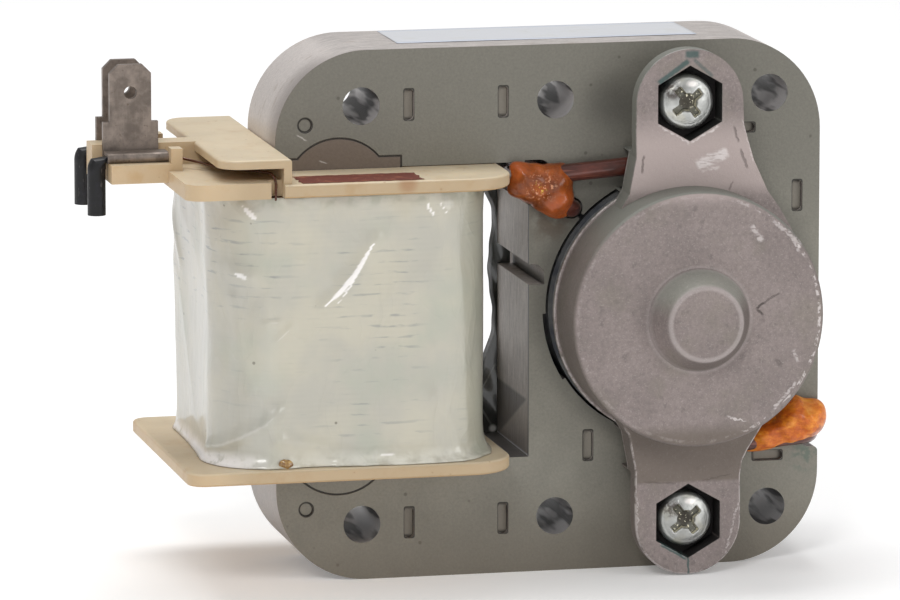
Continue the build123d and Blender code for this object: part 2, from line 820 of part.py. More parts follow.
def screw():
    """A pan-head screw in the front pocket, drawn along the shaft's direction."""
    seat = -face_y - tab_face_height + pocket_depth
    end = face_y + tab_face_height - pocket_depth + nut_thickness + screw_beyond_nut
    top = seat - screw_head_height
    head = slab(Circle(screw_head_radius), top, seat)
    head = fillet(head.edges().sort_by(Axis.Y)[0], screw_dome)
    body = head + slab(Circle(screw_radius), seat, end)
    bar = Rectangle(screw_cross_length, screw_cross_width)
    cross = Rot(0, 0, screw_cross_turn) * (bar + Rot(0, 0, 90) * bar)
    return body - slab(cross, top, top + screw_cross_depth)


def nut():
    seat = face_y + tab_face_height - pocket_depth
    return slab(hexagon(nut_across_flats) - Circle(nut_bore_radius), seat, seat + nut_thickness)


def build_nodes():
    """Every piece of the motor by name."""
    large = shading_ring(large_ring_outer_z, large_ring_hole)
    small = shading_ring(small_ring_outer_z, small_ring_hole)
    rings = (large, small)
    bars = rotor_bars()
    nodes = {
        "main_core": main_core(),
        "coil_core": coil_core(),
        "bobbin": bobbin(),
        "winding": winding(),
        "coil_wrap": coil_wrap(),
        "terminal_front": terminal(),
        "sleeve_front": sleeve(),
        "lead_wire_front": lead_wire(),
        "upper_large_ring": large,
        "upper_small_ring": small,
        "upper_joint_varnish": joint_varnish(rings, upper_varnish_reach),
        "lower_joint_varnish": half_turn * joint_varnish(rings, lower_varnish_reach),
        "front_bracket": seated(bracket(bracket_tab_radius, False)),
        "rear_bracket": to_rear * seated(bracket(rear_bracket_tab_radius, True)),
        "front_bush": seated(bush()),
        "front_felt": seated(felt()),
        "front_bush_retainer": seated(retainer()),
        "rotor_core": rotor_core(bars),
        "rotor_cage": rotor_cage(bars),
        "shaft": shaft(),
        "front_collar": collar(),
        "front_thrust_washer": thrust_washer(),
        "upper_screw": Pos(0, 0, hole_z) * screw(),
        "lower_screw": Pos(0, 0, -hole_z) * screw(),
        "upper_nut": Pos(0, 0, hole_z) * nut(),
        "lower_nut": Pos(0, 0, -hole_z) * nut(),
    }
    for name in ("terminal", "sleeve", "lead_wire"):
        nodes[name + "_rear"] = mirrored_in_y(nodes[name + "_front"])
    for name in ("large_ring", "small_ring"):
        nodes["lower_" + name] = half_turn * nodes["upper_" + name]
    for name in ("bush", "felt", "bush_retainer", "collar", "thrust_washer"):
        nodes["rear_" + name] = mirrored_in_y(nodes["front_" + name])
    return nodes


os.makedirs("parts", exist_ok=True)
for node, shape in build_nodes().items():
    export_step(shape, "parts/" + node + ".step")
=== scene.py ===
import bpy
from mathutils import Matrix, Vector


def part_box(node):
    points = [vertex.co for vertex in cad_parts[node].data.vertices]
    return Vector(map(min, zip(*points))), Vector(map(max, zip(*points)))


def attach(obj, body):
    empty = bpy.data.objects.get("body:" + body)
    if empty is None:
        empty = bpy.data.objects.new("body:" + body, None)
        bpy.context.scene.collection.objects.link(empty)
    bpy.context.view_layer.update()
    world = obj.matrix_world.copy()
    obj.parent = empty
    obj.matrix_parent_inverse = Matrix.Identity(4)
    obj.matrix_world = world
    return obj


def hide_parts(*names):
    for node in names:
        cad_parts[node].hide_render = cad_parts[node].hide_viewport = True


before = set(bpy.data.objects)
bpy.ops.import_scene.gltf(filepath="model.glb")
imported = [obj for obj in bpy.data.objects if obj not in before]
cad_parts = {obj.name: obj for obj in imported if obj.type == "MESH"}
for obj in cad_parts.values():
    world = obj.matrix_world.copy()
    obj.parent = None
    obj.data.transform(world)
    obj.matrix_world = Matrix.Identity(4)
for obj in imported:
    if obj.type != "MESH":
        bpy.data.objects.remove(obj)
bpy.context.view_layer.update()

import functools
import math

import bmesh
import bpy
import numpy as np
from bpy.props import FloatProperty, FloatVectorProperty, IntProperty, PointerProperty
from mathutils import Vector

bl_info = {
    "name": "Shaded-pole fan motor",
    "version": (1, 0, 0),
    "blender": (4, 5, 0),
    "location": "3D View > Sidebar > Fan motor",
    "description": "Dresses the solids of a shaded-pole fan motor with film, varnish, screws and finishes",
    "category": "Object",
}

MM = 0.001
TURN = 2 * math.pi


def linear(red, green, blue):
    """A colour given as screen values from 0 to 255, as scene-linear light."""
    parts = np.array((red, green, blue)) / 255
    return tuple(np.where(parts <= 0.04045, parts / 12.92, ((parts + 0.055) / 1.055) ** 2.4))


# Sizes and colours


def panel_length(name, description, default, least, most):
    """A length that the panel shows, given in millimetres."""
    return FloatProperty(name=name, description=description, default=default * MM, min=least * MM,
                         max=most * MM, unit="LENGTH", precision=5)


def panel_colour(name, description, default):
    """A colour that the panel shows, given as scene-linear light."""
    return FloatVectorProperty(name=name, description=description, default=default, subtype="COLOR",
                               size=3, min=0, max=1)


class MotorSizes(bpy.types.PropertyGroup):
    film_fold: panel_length("Film fold", "Height of the soft folds in the coil's film", 0.42, 0, 1.2)
    film_crease: panel_length("Film crease", "Height of the sharp creases on the coil's film", 0.3, 0, 1)
    film_foot: panel_length(
        "Film foot", "How far the film's foot spreads over the lower flange", 1.1, 0, 1.7)
    thread_pitch: panel_length("Thread pitch", "Pitch of the screws' thread", 0.7, 0.4, 1.5)
    recess_depth: panel_length(
        "Recess depth", "Depth of the cross recess in the screw heads", 1.3, 0.2, 1.8)
    recess_turn: FloatProperty(
        name="Recess turn", description="How far the cross recess is turned",
        default=math.radians(38), subtype="ANGLE")
    label_length: panel_length("Label length", "Length of the bare label on top of the stack", 35, 5, 60)
    film_steps: IntProperty(
        name="Film steps", description="Points round the coil's film", default=400, min=60, max=600)


class MotorColours(bpy.types.PropertyGroup):
    steel: panel_colour("Stack", "Ground face of the laminated stack", linear(140, 137, 127))
    steel_edge: panel_colour("Stack edge", "Cut edges of the laminations", linear(205, 198, 194))
    bobbin: panel_colour("Bobbin", "Moulded nylon of the bobbin", linear(206, 190, 162))
    film: panel_colour("Film", "Cream wrap under the clear film", linear(181, 178, 166))
    wire: panel_colour("Wire", "Enamelled winding wire", linear(140, 74, 36))
    terminal: panel_colour("Terminal", "Tarnished tin plate of the terminals", linear(134, 123, 115))
    sleeve: panel_colour("Sleeve", "Black sleeves", linear(17, 17, 19))
    copper: panel_colour("Shading ring", "Varnished copper of the shading rings", linear(94, 45, 34))
    varnish: panel_colour("Varnish", "Orange varnish over the rings' joints", linear(172, 84, 32))
    casting: panel_colour("Casting", "Die-cast metal of the brackets", linear(138, 127, 124))
    bronze: panel_colour("Bush", "Oiled sintered bronze", linear(140, 107, 61))
    felt: panel_colour("Felt", "Oil-soaked felt", linear(196, 184, 156))
    cage: panel_colour("Cage", "Cast aluminium of the rotor's cage", linear(176, 178, 180))
    shaft: panel_colour("Shaft", "Ground steel of the shaft", linear(176, 176, 178))
    collar: panel_colour("Collar", "White nylon collars and washers", linear(224, 224, 216))
    zinc: panel_colour("Screws", "Bright zinc of the screws and nuts", linear(196, 197, 194))
    label: panel_colour("Label", "Bare white label on the stack", linear(214, 216, 221))
    patch: panel_colour("Flange patch", "Bare red-brown patch on the upper flange", linear(104, 48, 36))
    floor: panel_colour("Floor", "Pale floor under the motor", (0.95, 0.95, 0.95))


# Finishes


class Value:
    """A number that varies over a finish. Arithmetic on it adds Math nodes."""

    def __init__(self, finish, socket):
        self.finish, self.socket = finish, socket

    def math(self, operation, *values):
        return self.finish.number(0, "ShaderNodeMath", {"operation": operation}, dict(enumerate(values)))

    def __add__(self, other):
        return self.math("ADD", self, other)

    __radd__ = __add__

    def __sub__(self, other):
        return self.math("SUBTRACT", self, other)

    def __rsub__(self, other):
        return self.math("SUBTRACT", other, self)

    def __mul__(self, other):
        return self.math("MULTIPLY", self, other)

    __rmul__ = __mul__

    def size(self):
        return self.math("ABSOLUTE", self)

    def sine(self):
        return self.math("SINE", self)

    def power(self, exponent):
        return self.math("POWER", self, exponent)

    def most(self, other):
        return self.math("MAXIMUM", self, other)

    def least(self, other):
        return self.math("MINIMUM", self, other)

    def rises(self, low, high):
        """From 0 below the low end to 1 above the high end, on a smooth step."""
        return self.finish.number(
            "Result", "ShaderNodeMapRange", {"interpolation_type": "SMOOTHSTEP"},
            {"Value": self, "From Min": low, "From Max": high})

    def falls(self, low, high):
        return 1 - self.rises(low, high)

    def between(self, low, full, ebbing, high):
        """0 outside the low and high ends, and 1 between the two ends inside them."""
        return self.rises(low, full) * self.falls(ebbing, high)


def distance(across, up):
    """The length of two values that stand at a right angle."""
    return (across * across + up * up).power(0.5)


def strongest(values):
    return functools.reduce(Value.most, values)


class Finish:
    """One procedural material, with patterns in millimetres on the object's own coordinates."""

    def __init__(self, name, constants=None):
        self.material = bpy.data.materials.new(name)
        self.material.use_nodes = True
        self.tree = self.material.node_tree
        self.tree.nodes.clear()
        self.shader = self.node("ShaderNodeBsdfPrincipled", {}, constants or {})
        self.node("ShaderNodeOutputMaterial", {}, {"Surface": self.shader.outputs[0]})
        place = self.node("ShaderNodeTexCoord", {}, {}).outputs
        self.millimetres = self.node(
            "ShaderNodeVectorMath", {"operation": "SCALE"},
            {0: place["Object"], "Scale": 1 / MM}).outputs[0]
        self.x, self.y, self.z = self.parts(self.millimetres)
        self.facing_x, self.facing_y, self.facing_z = self.parts(place["Normal"])

    def feed(self, entry, value):
        """Links a value, coats of colour or an output to a socket, or sets a constant on it."""
        source = value.socket if isinstance(value, (Value, Coats)) else value
        if isinstance(source, bpy.types.NodeSocket):
            self.tree.links.new(source, entry)
        elif entry.type == "RGBA" and len(source) == 3:
            entry.default_value = (*source, 1)
        else:
            entry.default_value = source

    def node(self, kind, settings, values):
        """A node of one kind: its settings first, then the values or links of its sockets."""
        made = self.tree.nodes.new(kind)
        for key, setting in settings.items():
            if key == "stops":
                ramp = made.color_ramp
                ramp.elements.remove(ramp.elements[-1])
                for number, (place, colour) in enumerate(setting):
                    stop = ramp.elements[0] if number == 0 else ramp.elements.new(place)
                    stop.position, stop.color = place, (*colour, 1)
            else:
                setattr(made, key, setting)
        for key, value in values.items():
            self.feed(made.inputs[key], value)
        return made

    def number(self, output, *node):
        """The number that one output of a new node gives."""
        return Value(self, self.node(*node).outputs[output])

    def parts(self, vector):
        """The three numbers of a vector."""
        return [Value(self, part) for part in self.node("ShaderNodeSeparateXYZ", {}, {0: vector}).outputs]

    def pattern(self, output, kind, size, stretch, shift, values):
        """A texture with features of a size in millimetres, stretched along the axes and shifted."""
        scale = tuple(1 / (size * s) for s in stretch)
        moved = self.node(
            "ShaderNodeMapping", {}, {"Vector": self.millimetres, "Location": shift, "Scale": scale})
        return self.number(output, kind, {}, {"Vector": moved.outputs[0], "Scale": 1.0, **values})

    def noise(self, size, detail=3.0, roughness=0.55, stretch=(1, 1, 1), shift=(0, 0, 0), twist=0.0):
        """Cloudy noise."""
        return self.pattern("Fac", "ShaderNodeTexNoise", size, stretch, shift,
                            {"Detail": detail, "Roughness": roughness, "Distortion": twist})

    def cells(self, size, shift=(0, 0, 0)):
        """Distance to the nearest point of a pattern of cells."""
        return self.pattern("Distance", "ShaderNodeTexVoronoi", size, (1, 1, 1), shift, {})

    def painted(self, name):
        """A number kept in the piece's own attribute."""
        return self.number("Fac", "ShaderNodeAttribute", {"attribute_name": name}, {})

    def ramp(self, value, *stops):
        """A colour that a value picks along stops, each a place and a colour."""
        return self.node("ShaderNodeValToRGB", {"stops": stops}, {"Fac": value}).outputs[0]

    def mix(self, mask, under, over, kind="MIX"):
        """Two colours mixed by a mask."""
        return self.node(
            "ShaderNodeMix", {"data_type": "RGBA", "blend_type": kind, "clamp_factor": True},
            {0: mask, 6: under, 7: over}).outputs[2]

    def near(self, x, y, z, reach, soft=0.6):
        """1 about a place in millimetres, fading out over the last part of its reach."""
        away = self.number("Value", "ShaderNodeVectorMath", {"operation": "DISTANCE"},
                           {0: self.millimetres, 1: (x, y, z)})
        return away.falls(reach * soft, reach)

    @functools.cached_property
    def tear(self):
        """The noise that all streaks of a finish share for their torn outlines."""
        return self.noise(0.5, 2) - 0.5

    def streak(self, start, end, width, rough=0.3):
        """1 along a line between two places of the front view, with a torn outline."""
        (x0, z0), (x1, z1) = start, end
        length = math.hypot(x1 - x0, z1 - z0)
        ux, uz = (x1 - x0) / length, (z1 - z0) / length
        along = self.x * ux + self.z * uz - (x0 * ux + z0 * uz)
        across = (self.z * ux - self.x * uz - (z0 * ux - x0 * uz) + self.tear * rough).size()
        return across.falls(width * 0.35, width) * along.between(-0.2, 0.25, length - 0.25, length + 0.2)

    def streaks(self, lines, rough=0.3):
        """The strongest of several streaks: start, end, half width and strength of each."""
        return strongest(self.streak(start, end, width, rough) * strength
                         for start, end, width, strength in lines)

    def bump(self, height, depth, strength=1.0):
        return self.node("ShaderNodeBump", {}, {
            "Height": height, "Distance": depth * MM, "Strength": strength}).outputs["Normal"]

    def done(self, color, roughness, normal=None, metallic=0.0, coat=None):
        """Links what varies to the shader and gives the material back."""
        links = {"Base Color": color, "Roughness": roughness, "Normal": normal,
                 "Metallic": metallic, "Coat Weight": coat}
        for key, value in links.items():
            if value is not None:
                self.feed(self.shader.inputs[key], value)
        return self.material


class Coats:
    """A colour laid on in coats, each showing as far as its mask goes. A tone is the base colour
    times a number, and the first coat is a tone."""

    def __init__(self, finish, base, tone=1):
        self.finish, self.base = finish, base
        self.socket = base if tone == 1 else tint(base, tone)

    def lay(self, mask, colour):
        self.socket = self.finish.mix(mask, self.socket, colour)

    def tone(self, mask, amount):
        self.lay(mask, tint(self.base, amount))

    def paint(self, mask, *screen):
        """A coat of a colour given as screen values."""
        self.lay(mask, linear(*screen))

    def shade(self, amount):
        """Makes the colour lighter or darker by a number that is about 1."""
        grey = self.finish.node("ShaderNodeCombineColor", {}, {0: amount, 1: amount, 2: amount})
        self.socket = self.finish.mix(1.0, self.socket, grey.outputs[0], "MULTIPLY")


def colours():
    return bpy.context.scene.motor_colours


def sizes():
    return bpy.context.scene.motor_sizes


def tint(colour, amount):
    """A plain colour times a number."""
    return tuple(min(1.0, part * amount) for part in colour)


def mottled(name, base, ends, tones, *grain, constants=None, **placing):
    """A finish whose colour goes from its first tone to its second while its grain, a noise, rises
    between two ends. Gives the finish, the grain and the colour."""
    look = Finish(name, constants)
    noise = look.noise(*grain, **placing)
    shade = Coats(look, base, tones[0])
    shade.tone(noise.rises(*ends), tones[1])
    return look, noise, shade


# In millimetres: the stack's front face, the fixing holes' x, how far they and the screws are above or
# below the shaft, and the thickness of a lamination.
FACE_Y = -7.75
HOLES_X = (-36.6, -14.07, 11.0)
SCREWS_Z = 24
LAMINATION = 0.5

# Marks pressed into the stack's faces in the front view: middle x and z, and whether they lie flat.
PRESSED_MARKS = (
    (-31.1, 24.0, False), (-31.1, -24.0, False), (-20.15, 24.0, False), (-20.15, -24.0, False),
    (14.35, 12.07, False), (-10.17, -15.96, False), (11.02, -18.04, True), (7.53, 20.1, True),
)


def steel_finish(name, warm):
    """Ground olive-grey faces with fine grain, faint stains and scratches, dark seams round what is pressed
    in with painted shade at the marks' ends, and painted shade high on the face and round the bracket's drum.
    Cut edges with lamination lines are painted light high up and painted shade low down, on the rounded
    corner, in the bore and the window, with painted light and shade in the holes and a painted highlight low
    in the window. A warm share of 1 gives the coil leg's browner steel."""
    look, clouds, face = mottled(name, colours().steel, (0.35, 0.7), (0.88, 1.06), 14, 3, 0.6,
                                 constants={"Specular IOR Level": 0.5})
    x, y, z, high = look.x, look.y, look.z, look.z.size()
    away = distance(x, z)
    brown = tuple(part * (1 - share * warm) for part, share in zip(colours().steel, (0.2, 0.34, 0.38)))
    grain = look.noise(0.3, 3, 0.75)
    # painted shade: the face darker towards the top, against the lights' brighter top
    face.tone(z.rises(2, 26) * 0.85, 0.68)
    face.tone(look.noise(5, 4, 0.6, shift=(3, 0, 9)).rises(0.55, 0.75) * 0.4, 0.8)
    face.lay(z.rises(-2, 2) * warm, tint(brown, 0.8))
    face.shade(0.74 + 0.52 * grain)
    hair = look.noise(1, 2, 0.6, stretch=(9, 1, 0.12), shift=(0, 0, 4)).rises(0.6, 0.75)
    face.tone(hair * 0.16, 0.7)
    face.paint(look.cells(3.1).falls(0.04, 0.09) * 0.5, 66, 62, 54)
    green = look.near(15.6, FACE_Y, -18.2, 2.6, 0.2) * look.noise(0.9, 3).rises(0.45, 0.62)
    face.paint(green * 0.5, 74, 104, 92)
    # painted shade round the base of the bracket's drum
    face.paint(away.falls(15.3, 18.0) * 0.3, 50, 50, 46)
    stain = look.near(-14.6, FACE_Y, 10.4, 3.6, 0.3) * look.noise(1.6, 3).rises(0.3, 0.6)
    face.paint(stain * 0.6, 78, 60, 44)
    face.paint(z.falls(-30.3, -18) * 0.45, 92, 80, 66)
    shadow = look.near(-7.5, FACE_Y, 23.5, 4.6, 0.1)
    face.paint(shadow * 0.45, 60, 58, 54)
    worn = look.streak((-44.0, 20.9), (-42.9, 20.3), 0.12)
    worn = worn.most(look.streak((-41.4, 17.9), (-40.6, 17.6), 0.1))
    face.paint(worn * 0.6, 206, 202, 198)
    seams, metal = [], []
    for mark_x, mark_z, lying in PRESSED_MARKS:
        across, along = (z - mark_z, x - mark_x) if lying else (x - mark_x, z - mark_z)
        outside = distance((across.size() - 0.375).most(0), (along.size() - 1.6).most(0))
        seams.append(outside.between(0.1, 0.16, 0.22, 0.3))
        # painted shade: the pressed marks darkened at their ends inside; the outlines above are dark seams
        seams.append(outside.falls(0.12, 0.2) * along.size().rises(1.35, 1.7) * 0.8)
        metal.append(outside.falls(0.1, 0.16))
    face.paint(strongest(metal) * 0.5, 132, 124, 114)
    gauge = distance(x + 43.06, high - 22) - 0.8
    aside = (x + 39.25).size()
    leg = (distance(aside, high - 14.3) - 6.1).least((aside - 7.25).most(high - 18.2))
    seam_and_shade = strongest(seams + [outline.size().falls(0.05, 0.17) for outline in (gauge, leg)])
    face.paint(seam_and_shade * 0.85, 26, 24, 24)

    side = Coats(look, colours().steel_edge, 0.82)
    side.tone(look.noise(2.4, 3, 0.6, stretch=(1, 0.14, 1)).rises(0.3, 0.7), 1.15)
    # painted shade low on the cut edges, and painted light high up on them
    side.tone(z.falls(-24, -8) * 0.75, 0.55)
    side.tone(z.between(6, 20, 29.5, 30.2) * 0.8, 1.3)
    lines = (y * (TURN / LAMINATION)).sine()
    side.shade(0.9 + 0.1 * lines)
    side.shade(0.8 + 0.4 * look.noise(0.35, 2, 0.7))
    rust = look.noise(3.4, 4, 0.65, stretch=(1, 0.4, 1), shift=(8, 1, 0)).rises(0.58, 0.72)
    side.paint(rust * 0.35, 150, 128, 104)
    # painted shade on the rounded corner's side near the front face, by the way it faces
    rolled = y.falls(-7.7, -1.0) * look.facing_x.falls(-0.7, -0.1) * z.rises(4, 14) * x.falls(-38, -34)
    side.paint(rolled * 0.55, 118, 106, 102)
    # darker brown strip along the front face's edge
    face_edge_dark = y.falls(-7.72, -7.45)
    side.paint(face_edge_dark * 0.6, 92, 78, 64)
    # painted shade on the bore's walls
    bore_shade = away.falls(15.6, 16.0)
    side.paint(bore_shade * 0.8, 44, 43, 41)
    window = x.between(-33, -31, -17.1, -16.9) * high.falls(16.9, 17.3)
    # painted shade on the window's floor
    floor = window * look.facing_z.rises(0.5, 0.8) * z.falls(-13, -11)
    side.paint(floor * 0.8, 58, 58, 62)
    wall = window * look.facing_x.falls(-0.8, -0.5)
    # painted shadow on the window's wall, low down
    facet_shading = z.falls(-10.8, -10.3) * (z + 10.6 + (y + 7) * 0.465).rises(-0.1, 0.5)
    side.paint(wall * facet_shading * 0.6, 52, 54, 60)
    # painted highlight where the window's wall meets its floor
    crease_highlight = wall * (z + 17.0).falls(0.1, 0.3)
    side.paint(crease_highlight, 236, 238, 242)
    # painted shade along the window wall's front edge
    corner = wall * y.falls(-7.45, -7.15)
    side.paint(corner * 0.7, 60, 64, 84)
    bands = look.noise(1.7, 2, 0.5, stretch=(1, 7, 1), shift=(0, 3, 1)).rises(0.46, 0.58)
    # painted light on the fixing holes' walls, with dark bands of painted shade
    for hole_x in HOLES_X:
        hole = distance(x - hole_x, high - SCREWS_Z).falls(2.3, 2.5)
        side.paint(hole * 0.5, 220, 220, 222)
        side.paint(hole * bands * 0.85, 48, 46, 46)

    flat = look.facing_y.size().rises(0.6, 0.85)
    rough = 0.46 + 0.16 * clouds + 0.08 * grain - 0.1 * (1 - flat)
    height = grain * 0.7 + look.noise(1.6, 3) * 0.5 + (1 - flat) * lines * 0.35 - seam_and_shade * 0.8
    return look.done(look.mix(flat, side, face), rough, look.bump(height, 0.04), 0.35 + 0.2 * (1 - flat))


def bobbin_finish():
    """Cream moulded nylon that turns amber low down and in its corners, as painted shade on faces that do not
    look up, most on those that look down, and at the far left, with amber mottling, and painted shade on its
    front faces.
    """
    look, _, shade = mottled(
        "bobbin_plastic", colours().bobbin, (0.3, 0.7), (1, 1.1), 6, 4, 0.55,
        constants={"Subsurface Weight": 0.12, "Subsurface Radius": (0.0012, 0.0008, 0.0004)})
    # painted shade as amber on faces that look down or sideways and at the far left, with amber mottling
    amber = look.facing_z.falls(-0.9, -0.2) * 0.6
    amber = amber + look.noise(3.2, 4, 0.6, shift=(5, 2, 1)).rises(0.52, 0.75) * 0.3
    amber = amber + look.facing_z.falls(0.2, 0.8) * 0.35 + look.x.falls(-58, -52) * 0.15
    shade.paint(amber.least(1), 186, 150, 104)
    dust = look.cells(1.9, (1, 4, 2)).falls(0.05, 0.11)
    shade.paint(dust * 0.4, 150, 112, 70)
    # painted shade on the faces that look forward
    front = look.facing_y.falls(-0.9, -0.5) * look.x.rises(-56, -51)
    shade.paint(front * 0.4, 150, 126, 94)
    stain = look.near(-33.5, -17.6, 16.6, 1.6, 0.3)
    shade.paint(stain * 0.5, 150, 96, 50)
    flow = look.noise(0.9, 3, 0.6, stretch=(3, 1, 1)) * 0.7 + look.noise(0.25, 2) * 0.3
    return look.done(shade, 0.36 + 0.18 * look.noise(1.4, 3), look.bump(flow, 0.03))


def film_finish():
    """A cream wrap seen through glossy film: faint rows of dashes, cloudy patches, white creases that are
    painted highlights as well as whitened film, painted shade near the top, and painted shade on the corner
    that faces the key light.
    """
    look = Finish("coil_film", {"Coat Roughness": 0.14, "Coat IOR": 1.45, "Subsurface Weight": 0.1,
                                "Subsurface Radius": (0.001, 0.001, 0.0008)})
    x, z = look.x, look.z
    shade = Coats(look, colours().film)
    shade.paint(look.noise(7, 3, 0.55, shift=(2, 0, 5)).rises(0.35, 0.68), 192, 187, 170)
    green = look.noise(9, 3, 0.5, shift=(9, 4, 0)).rises(0.5, 0.72)
    shade.paint(green * 0.6, 170, 175, 160)
    shade.paint(x.rises(-29.5, -24.5) * 0.5, 160, 161, 145)
    rows = ((z + (look.noise(9, 2) - 0.5) * 0.9) * (TURN / 1.22)).sine().rises(0.45, 0.95)
    short = look.noise(1, 2, 0.5, stretch=(2.6, 2.6, 0.5), shift=(0, 0, 7)).rises(0.52, 0.66)
    area = look.noise(6, 2, 0.5, shift=(1, 7, 3)).rises(0.42, 0.6)
    upper_left = x.falls(-49.5, -46.5) * z.between(0.5, 2.5, 13.0, 14.5)
    middle = x.between(-43, -40, -33, -30) * z.between(-14, -11, 9, 12)
    dashes = rows * short * (upper_left.most(middle * 0.7) * (0.5 + 0.5 * area)).most(area * 0.25)
    shade.paint(dashes * 0.7, 112, 118, 124)
    turns = (z * (TURN / 0.62)).sine() * 0.5 + 0.5
    shade.shade(1.0 - 0.02 * turns * area)
    specks = look.cells(4.2, (3, 1, 8)).falls(0.03, 0.055)
    shade.paint(specks * 0.7, 96, 88, 74)
    # painted highlight along the creases, together with the whitening of stretched film
    fold = look.painted("fold")
    shade.paint(fold.rises(0.1, 0.9) * 0.85, 252, 248, 246)
    low = z.falls(-15.1, -13.2) * look.noise(2.2, 3).rises(0.35, 0.65)
    shade.paint(low * 0.55, 235, 233, 222)
    # painted shade near the top, under the upper flange
    top = z.rises(13.4, 15.0) * look.noise(1.8, 3, shift=(2, 2, 2)).rises(0.4, 0.66)
    shade.paint(top * 0.45, 138, 140, 118)
    cloudy = look.near(-59.5, -13.0, -14.6, 4.4, 0.3) * look.noise(0.7, 3, 0.6).rises(0.3, 0.6)
    shade.paint(cloudy * 0.7, 236, 232, 232)
    left = x.falls(-50.5, -46.5) * look.noise(4, 2, 0.5, stretch=(1, 1, 3)).rises(0.4, 0.6)
    shade.paint(left * 0.15, 208, 208, 206)
    # painted shade on the corner that faces the key light, against its bright band
    corner = look.facing_x.between(-0.98, -0.8, -0.45, -0.15)
    shade.tone(corner * 0.15, 0.78)
    foot = z.falls(-14.9, -13.4) * x.falls(-54, -48)
    foot = foot * look.noise(1.3, 3, 0.6, shift=(4, 4, 0)).rises(0.2, 0.5)
    shade.paint(foot * 0.9, 246, 242, 240)
    wrinkle = 1 - (look.noise(5, 3, 0.5, stretch=(1, 1, 1.8), twist=0.5) - 0.5).size() * 2
    height = wrinkle.power(3) * 0.5 + look.noise(7, 2, 0.5) * 0.8
    return look.done(shade, 0.42 - 0.12 * fold, look.bump(height, 0.3, 0.8),
                     coat=1 - 0.6 * x.falls(-60, -49))


def loose_film_finish():
    """Film seen edge on, glossy, its dark colour painted shade and reflection, with a painted highlight as a
    pale rim along its torn edge, painted reflections as light lines and a painted glint.
    """
    look = Finish("loose_film", {"Coat Weight": 1.0, "Coat Roughness": 0.05})
    rim = look.painted("fold")
    # painted shade and reflection: the clear film's dark colour
    shade = Coats(look, look.ramp(look.noise(2.2, 3, 0.6, stretch=(1, 1, 2)),
                                  (0.4, linear(52, 54, 50)), (0.6, linear(66, 68, 66)),
                                  (0.8, linear(104, 106, 106))))
    # painted reflections: light lines on the film
    facet_shading = look.streak((-19.4, -13.4), (-17.4, -16.8), 0.18, 0.1)
    facet_shading = facet_shading.most(look.streak((-19.3, -13.0), (-17.3, -9.0), 0.12, 0.1))
    shade.paint(facet_shading * 0.5, 140, 142, 140)
    glint = look.near(-17.6, 8.0, -16.6, 0.6, 0.3)
    shade.paint(glint, 255, 255, 255)
    # painted highlight as a pale rim along the torn edge
    shade.paint(rim.rises(0.1, 0.9), 190, 194, 200)
    return look.done(shade, 0.25 + 0.2 * rim, look.bump(look.noise(3, 2), 0.1))


def wire_finish(name, depth):
    """Enamelled copper in close turns along the coil, darker as its depth number falls."""
    look, warm, shade = mottled(name, tint(colours().wire, depth), (0.35, 0.65), (0.8, 1.25), 3, 3, 0.5,
                                constants={"Coat Weight": 0.6, "Coat Roughness": 0.12})
    turns = (look.z * (TURN / 0.32)).sine()
    shade.shade(0.86 + 0.14 * turns)
    return look.done(shade, 0.3 + 0.1 * warm, look.bump(turns, 0.03), 0.65)


def terminal_finish():
    """Tin plate gone dull: brown-grey tarnish, brighter wiped areas and fine drawing lines."""
    look, tarnish, shade = mottled(
        "terminal_metal", colours().terminal, (0.35, 0.68), (1.25, 0.72), 1.8, 4, 0.62)
    spots = look.noise(0.5, 3, 0.6, shift=(4, 4, 4)).rises(0.6, 0.72)
    shade.paint(spots * 0.5, 84, 70, 58)
    drawn = look.noise(0.5, 2, 0.6, stretch=(0.3, 1, 8))
    shade.tone(drawn.rises(0.55, 0.8) * 0.25, 1.8)
    return look.done(shade, 0.34 + 0.25 * tarnish, look.bump(drawn * 0.5 + tarnish * 0.5, 0.03), 0.75)


def sleeve_finish():
    """Smooth black sleeve with a faint purple bloom and dusty scuffs."""
    look = Finish("black_sleeve", {"Coat Weight": 0.2, "Coat Roughness": 0.25, "Specular IOR Level": 0.3})
    shade = Coats(look, colours().sleeve)
    bloom = look.noise(1.1, 3, 0.6)
    shade.paint(bloom.rises(0.45, 0.75) * 0.35, 44, 42, 56)
    scuff = look.noise(0.4, 3, 0.6, stretch=(1, 1, 2.5), shift=(1, 1, 1)).rises(0.62, 0.72) * 0.35
    shade.paint(scuff, 112, 104, 104)
    return look.done(shade, 0.36 + 0.25 * bloom, look.bump(bloom + scuff, 0.05))


def copper_finish():
    """Copper under old varnish: dark red-brown, glossy, with lighter rubbed lines."""
    look, clouds, shade = mottled(
        "shading_copper", colours().copper, (0.35, 0.7), (0.6, 1.5), 1.6, 4, 0.6, stretch=(2.4, 1, 1),
        constants={"Coat Weight": 0.9, "Coat Roughness": 0.1})
    rubbed = look.noise(0.7, 2, 0.6, stretch=(6, 1, 0.6), shift=(5, 5, 5)).rises(0.6, 0.72)
    shade.paint(rubbed * 0.4, 168, 98, 78)
    return look.done(shade, 0.3 + 0.2 * clouds, look.bump(clouds + look.noise(0.5, 2) * 0.4, 0.05), 0.45)


